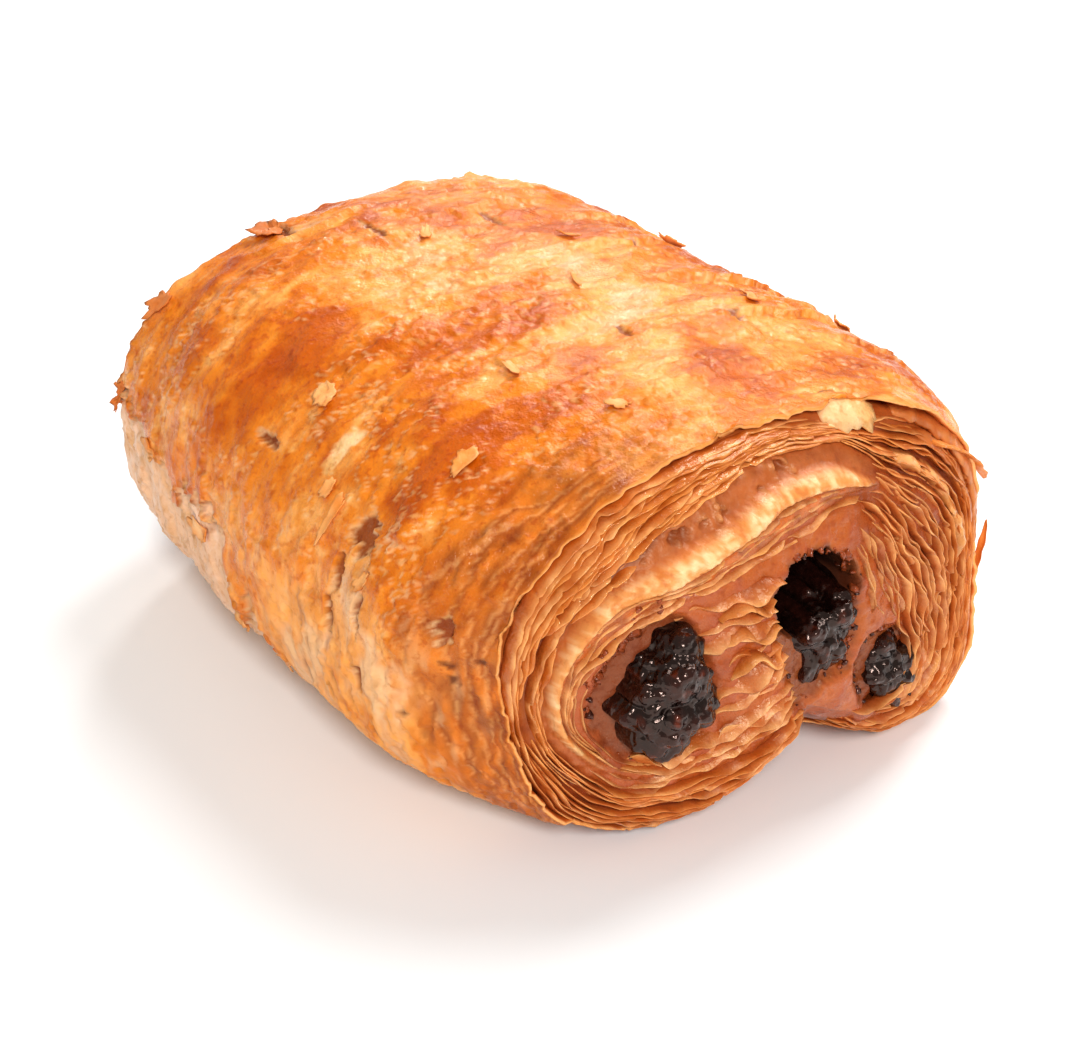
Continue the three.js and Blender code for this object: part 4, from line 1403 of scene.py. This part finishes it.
def dough_material(name, low_roughness, high_roughness, specular, bump_depth, mottle):
    """Baked dough: the tint of each point, mottled finely, with a fine blistered surface."""
    material, tree, shader = principled(name)
    broad = shader_noise(tree, 250, 9, (0.75, 1, 0.75))
    fine = shader_noise(tree, 900, 6)
    streak = shader_noise(tree, 420, 6, (0.5, 1, 0.5))
    grain = shader_noise(tree, 2600, 3)
    shine = attribute(tree, "gloss", "Fac")
    lively = map_range(tree, shine, 0.1, 0.45, 0.3, 1)
    colour = attribute(tree, "tint", "Color")
    darker = times(tree, lively, map_range(tree, broad, 0.50, 0.60, 0, mottle))
    colour = tone_shift(tree, colour, darker, DARK_MOTTLE)
    pitted = times(tree, lively, map_range(tree, fine, 0.55, 0.68, 0, mottle))
    colour = tone_shift(tree, colour, pitted, PIT_MOTTLE)
    lighter = times(tree, lively, map_range(tree, streak, 0.53, 0.64, 0, mottle))
    colour = tone_shift(tree, colour, lighter, PALE_MOTTLE)
    tree.links.new(colour, shader.inputs["Base Color"])
    rough = map_range(tree, shine, 0, 1, high_roughness, low_roughness)
    rough = add(tree, rough, map_range(tree, fine, 0.3, 0.7, -0.18, 0.1))
    tree.links.new(rough, shader.inputs["Roughness"])
    height = add(tree, fine, streak, 1.2)
    height = times(tree, lively, add(tree, height, grain, 0.3))
    tree.links.new(bump(tree, height, bump_depth), shader.inputs["Normal"])
    shader.inputs["Specular IOR Level"].default_value = specular
    shader.inputs["Specular Tint"].default_value = DOUGH_SHINE
    shader.inputs["Subsurface Weight"].default_value = 0.08
    shader.inputs["Subsurface Radius"].default_value = DOUGH_DEPTH
    return material


def chocolate_material():
    """Baked chocolate: nearly black, glossy and finely lumpy."""
    material, tree, shader = principled("chocolate")
    fine = shader_noise(tree, 1300, 3)
    coarse = shader_noise(tree, 620, 1)
    colour = attribute(tree, "tint", "Color")
    darker = map_range(tree, fine, 0.42, 0.65, 0, 0.8)
    colour = tone_shift(tree, colour, darker, CHOCOLATE_MOTTLE)
    tree.links.new(colour, shader.inputs["Base Color"])
    rough = map_range(tree, fine, 0.35, 0.65, 0.07, 0.26)
    tree.links.new(rough, shader.inputs["Roughness"])
    height = add(tree, coarse, fine, 0.12)
    tree.links.new(bump(tree, height, 0.0007), shader.inputs["Normal"])
    shader.inputs["Specular IOR Level"].default_value = 0.55
    shader.inputs["Specular Tint"].default_value = CHOCOLATE_SHINE
    return material


def floor_material():
    material, tree, shader = principled("floor")
    shader.inputs["Base Color"].default_value = FLOOR_COLOUR
    shader.inputs["Roughness"].default_value = 0.7
    shader.inputs["Specular IOR Level"].default_value = 0.2
    return material


# The stage.

CAMERA_PLACE = (-185.208, -265.275, 214.407)
CAMERA_AIM = (16.85, 24.574, 0)
LENS = 85.0
SENSOR = 36.0
FLOOR_SIZE = 6.0
SKY_COLOUR = (1, 0.99, 0.97, 1)
SKY_STRENGTH = 0.42
# Lights: name, place, what it faces, size and power, in metres and watts.
LIGHTS = [
    ("key", (0.5, 0.12, 0.8), (0, 0, 0.03), 0.5, 7.0),
    ("fill", (-0.36, -0.66, 0.6), (0, -0.02, 0.02), 0.22, 6.0),
    ("glint", (0.42, 0.6, 0.52), (0, 0, 0.03), 0.16, 1.8),
]


def look_at(thing, aim):
    direction = Vector(aim) - thing.location
    thing.rotation_euler = direction.to_track_quat("-Z", "Y").to_euler()


def make_camera():
    data = bpy.data.cameras.new("camera")
    data.lens = LENS
    data.sensor_width = SENSOR
    data.sensor_fit = "HORIZONTAL"
    data.clip_start = 0.01
    camera = bpy.data.objects.new("camera", data)
    camera.location = [value * MM for value in CAMERA_PLACE]
    bpy.context.scene.collection.objects.link(camera)
    look_at(camera, [value * MM for value in CAMERA_AIM])
    bpy.context.scene.camera = camera


def make_light(name, place, aim, size, power):
    data = bpy.data.lights.new(name, "AREA")
    data.shape = "DISK"
    data.size = size
    data.energy = power
    light = bpy.data.objects.new(name, data)
    light.location = place
    bpy.context.scene.collection.objects.link(light)
    look_at(light, aim)


def make_stage():
    mesh = bpy.data.meshes.new("floor")
    half = FLOOR_SIZE / 2
    corners = [(-half, -half, 0), (half, -half, 0), (half, half, 0), (-half, half, 0)]
    mesh.from_pydata(corners, [], [(0, 1, 2, 3)])
    mesh.materials.append(floor_material())
    floor = bpy.data.objects.new("floor", mesh)
    bpy.context.scene.collection.objects.link(floor)
    world = bpy.data.worlds.new("studio")
    world.use_nodes = True
    world.node_tree.nodes["Background"].inputs["Color"].default_value = SKY_COLOUR
    world.node_tree.nodes["Background"].inputs["Strength"].default_value = SKY_STRENGTH
    bpy.context.scene.world = world
    for light in LIGHTS:
        make_light(*light)
    bpy.context.scene.view_settings.view_transform = "Standard"


def make_end(side, recess, seed, face_material, step, name):
    end = End(side, recess, seed)
    make_face(end, face_material, name + "_face")
    thin = Sheets(end, SEED + seed, step)
    thin_layers(end, thin)
    bare_patch(end, thin)
    outer_band(end, thin)
    thin.build(name + "_thin_layers", face_material)
    inner = Sheets(end, SEED + seed + 100, step)
    band_rims(end, inner)
    right_layers(end, inner)
    core_layers(inner)
    fan_layers(inner)
    eye_layers(end, inner)
    inner.build(name + "_inner_layers", face_material)
    return end


crust_look = dough_material("baked_crust", 0.14, 0.62, 0.27, 0.00026, 0.85)
layer_look = dough_material("baked_layers", 0.1, 0.64, 0.55, 0.0002, 0.7)
chocolate_look = chocolate_material()

near_end = make_end(-1, NEAR_RECESS, 1, layer_look, NEAR_STEP, "near")
far_end = make_end(1, FAR_RECESS, 9, layer_look, FAR_STEP, "far")
make_crust(near_end, far_end, crust_look)
for one_baton in BATONS:
    make_baton(one_baton, chocolate_look)
make_crumbs(near_end, chocolate_look, "near_crumbs")
make_crumbs(far_end, chocolate_look, "far_crumbs")
make_flakes(crust_look)
make_blades(crust_look)
make_stage()
make_camera()
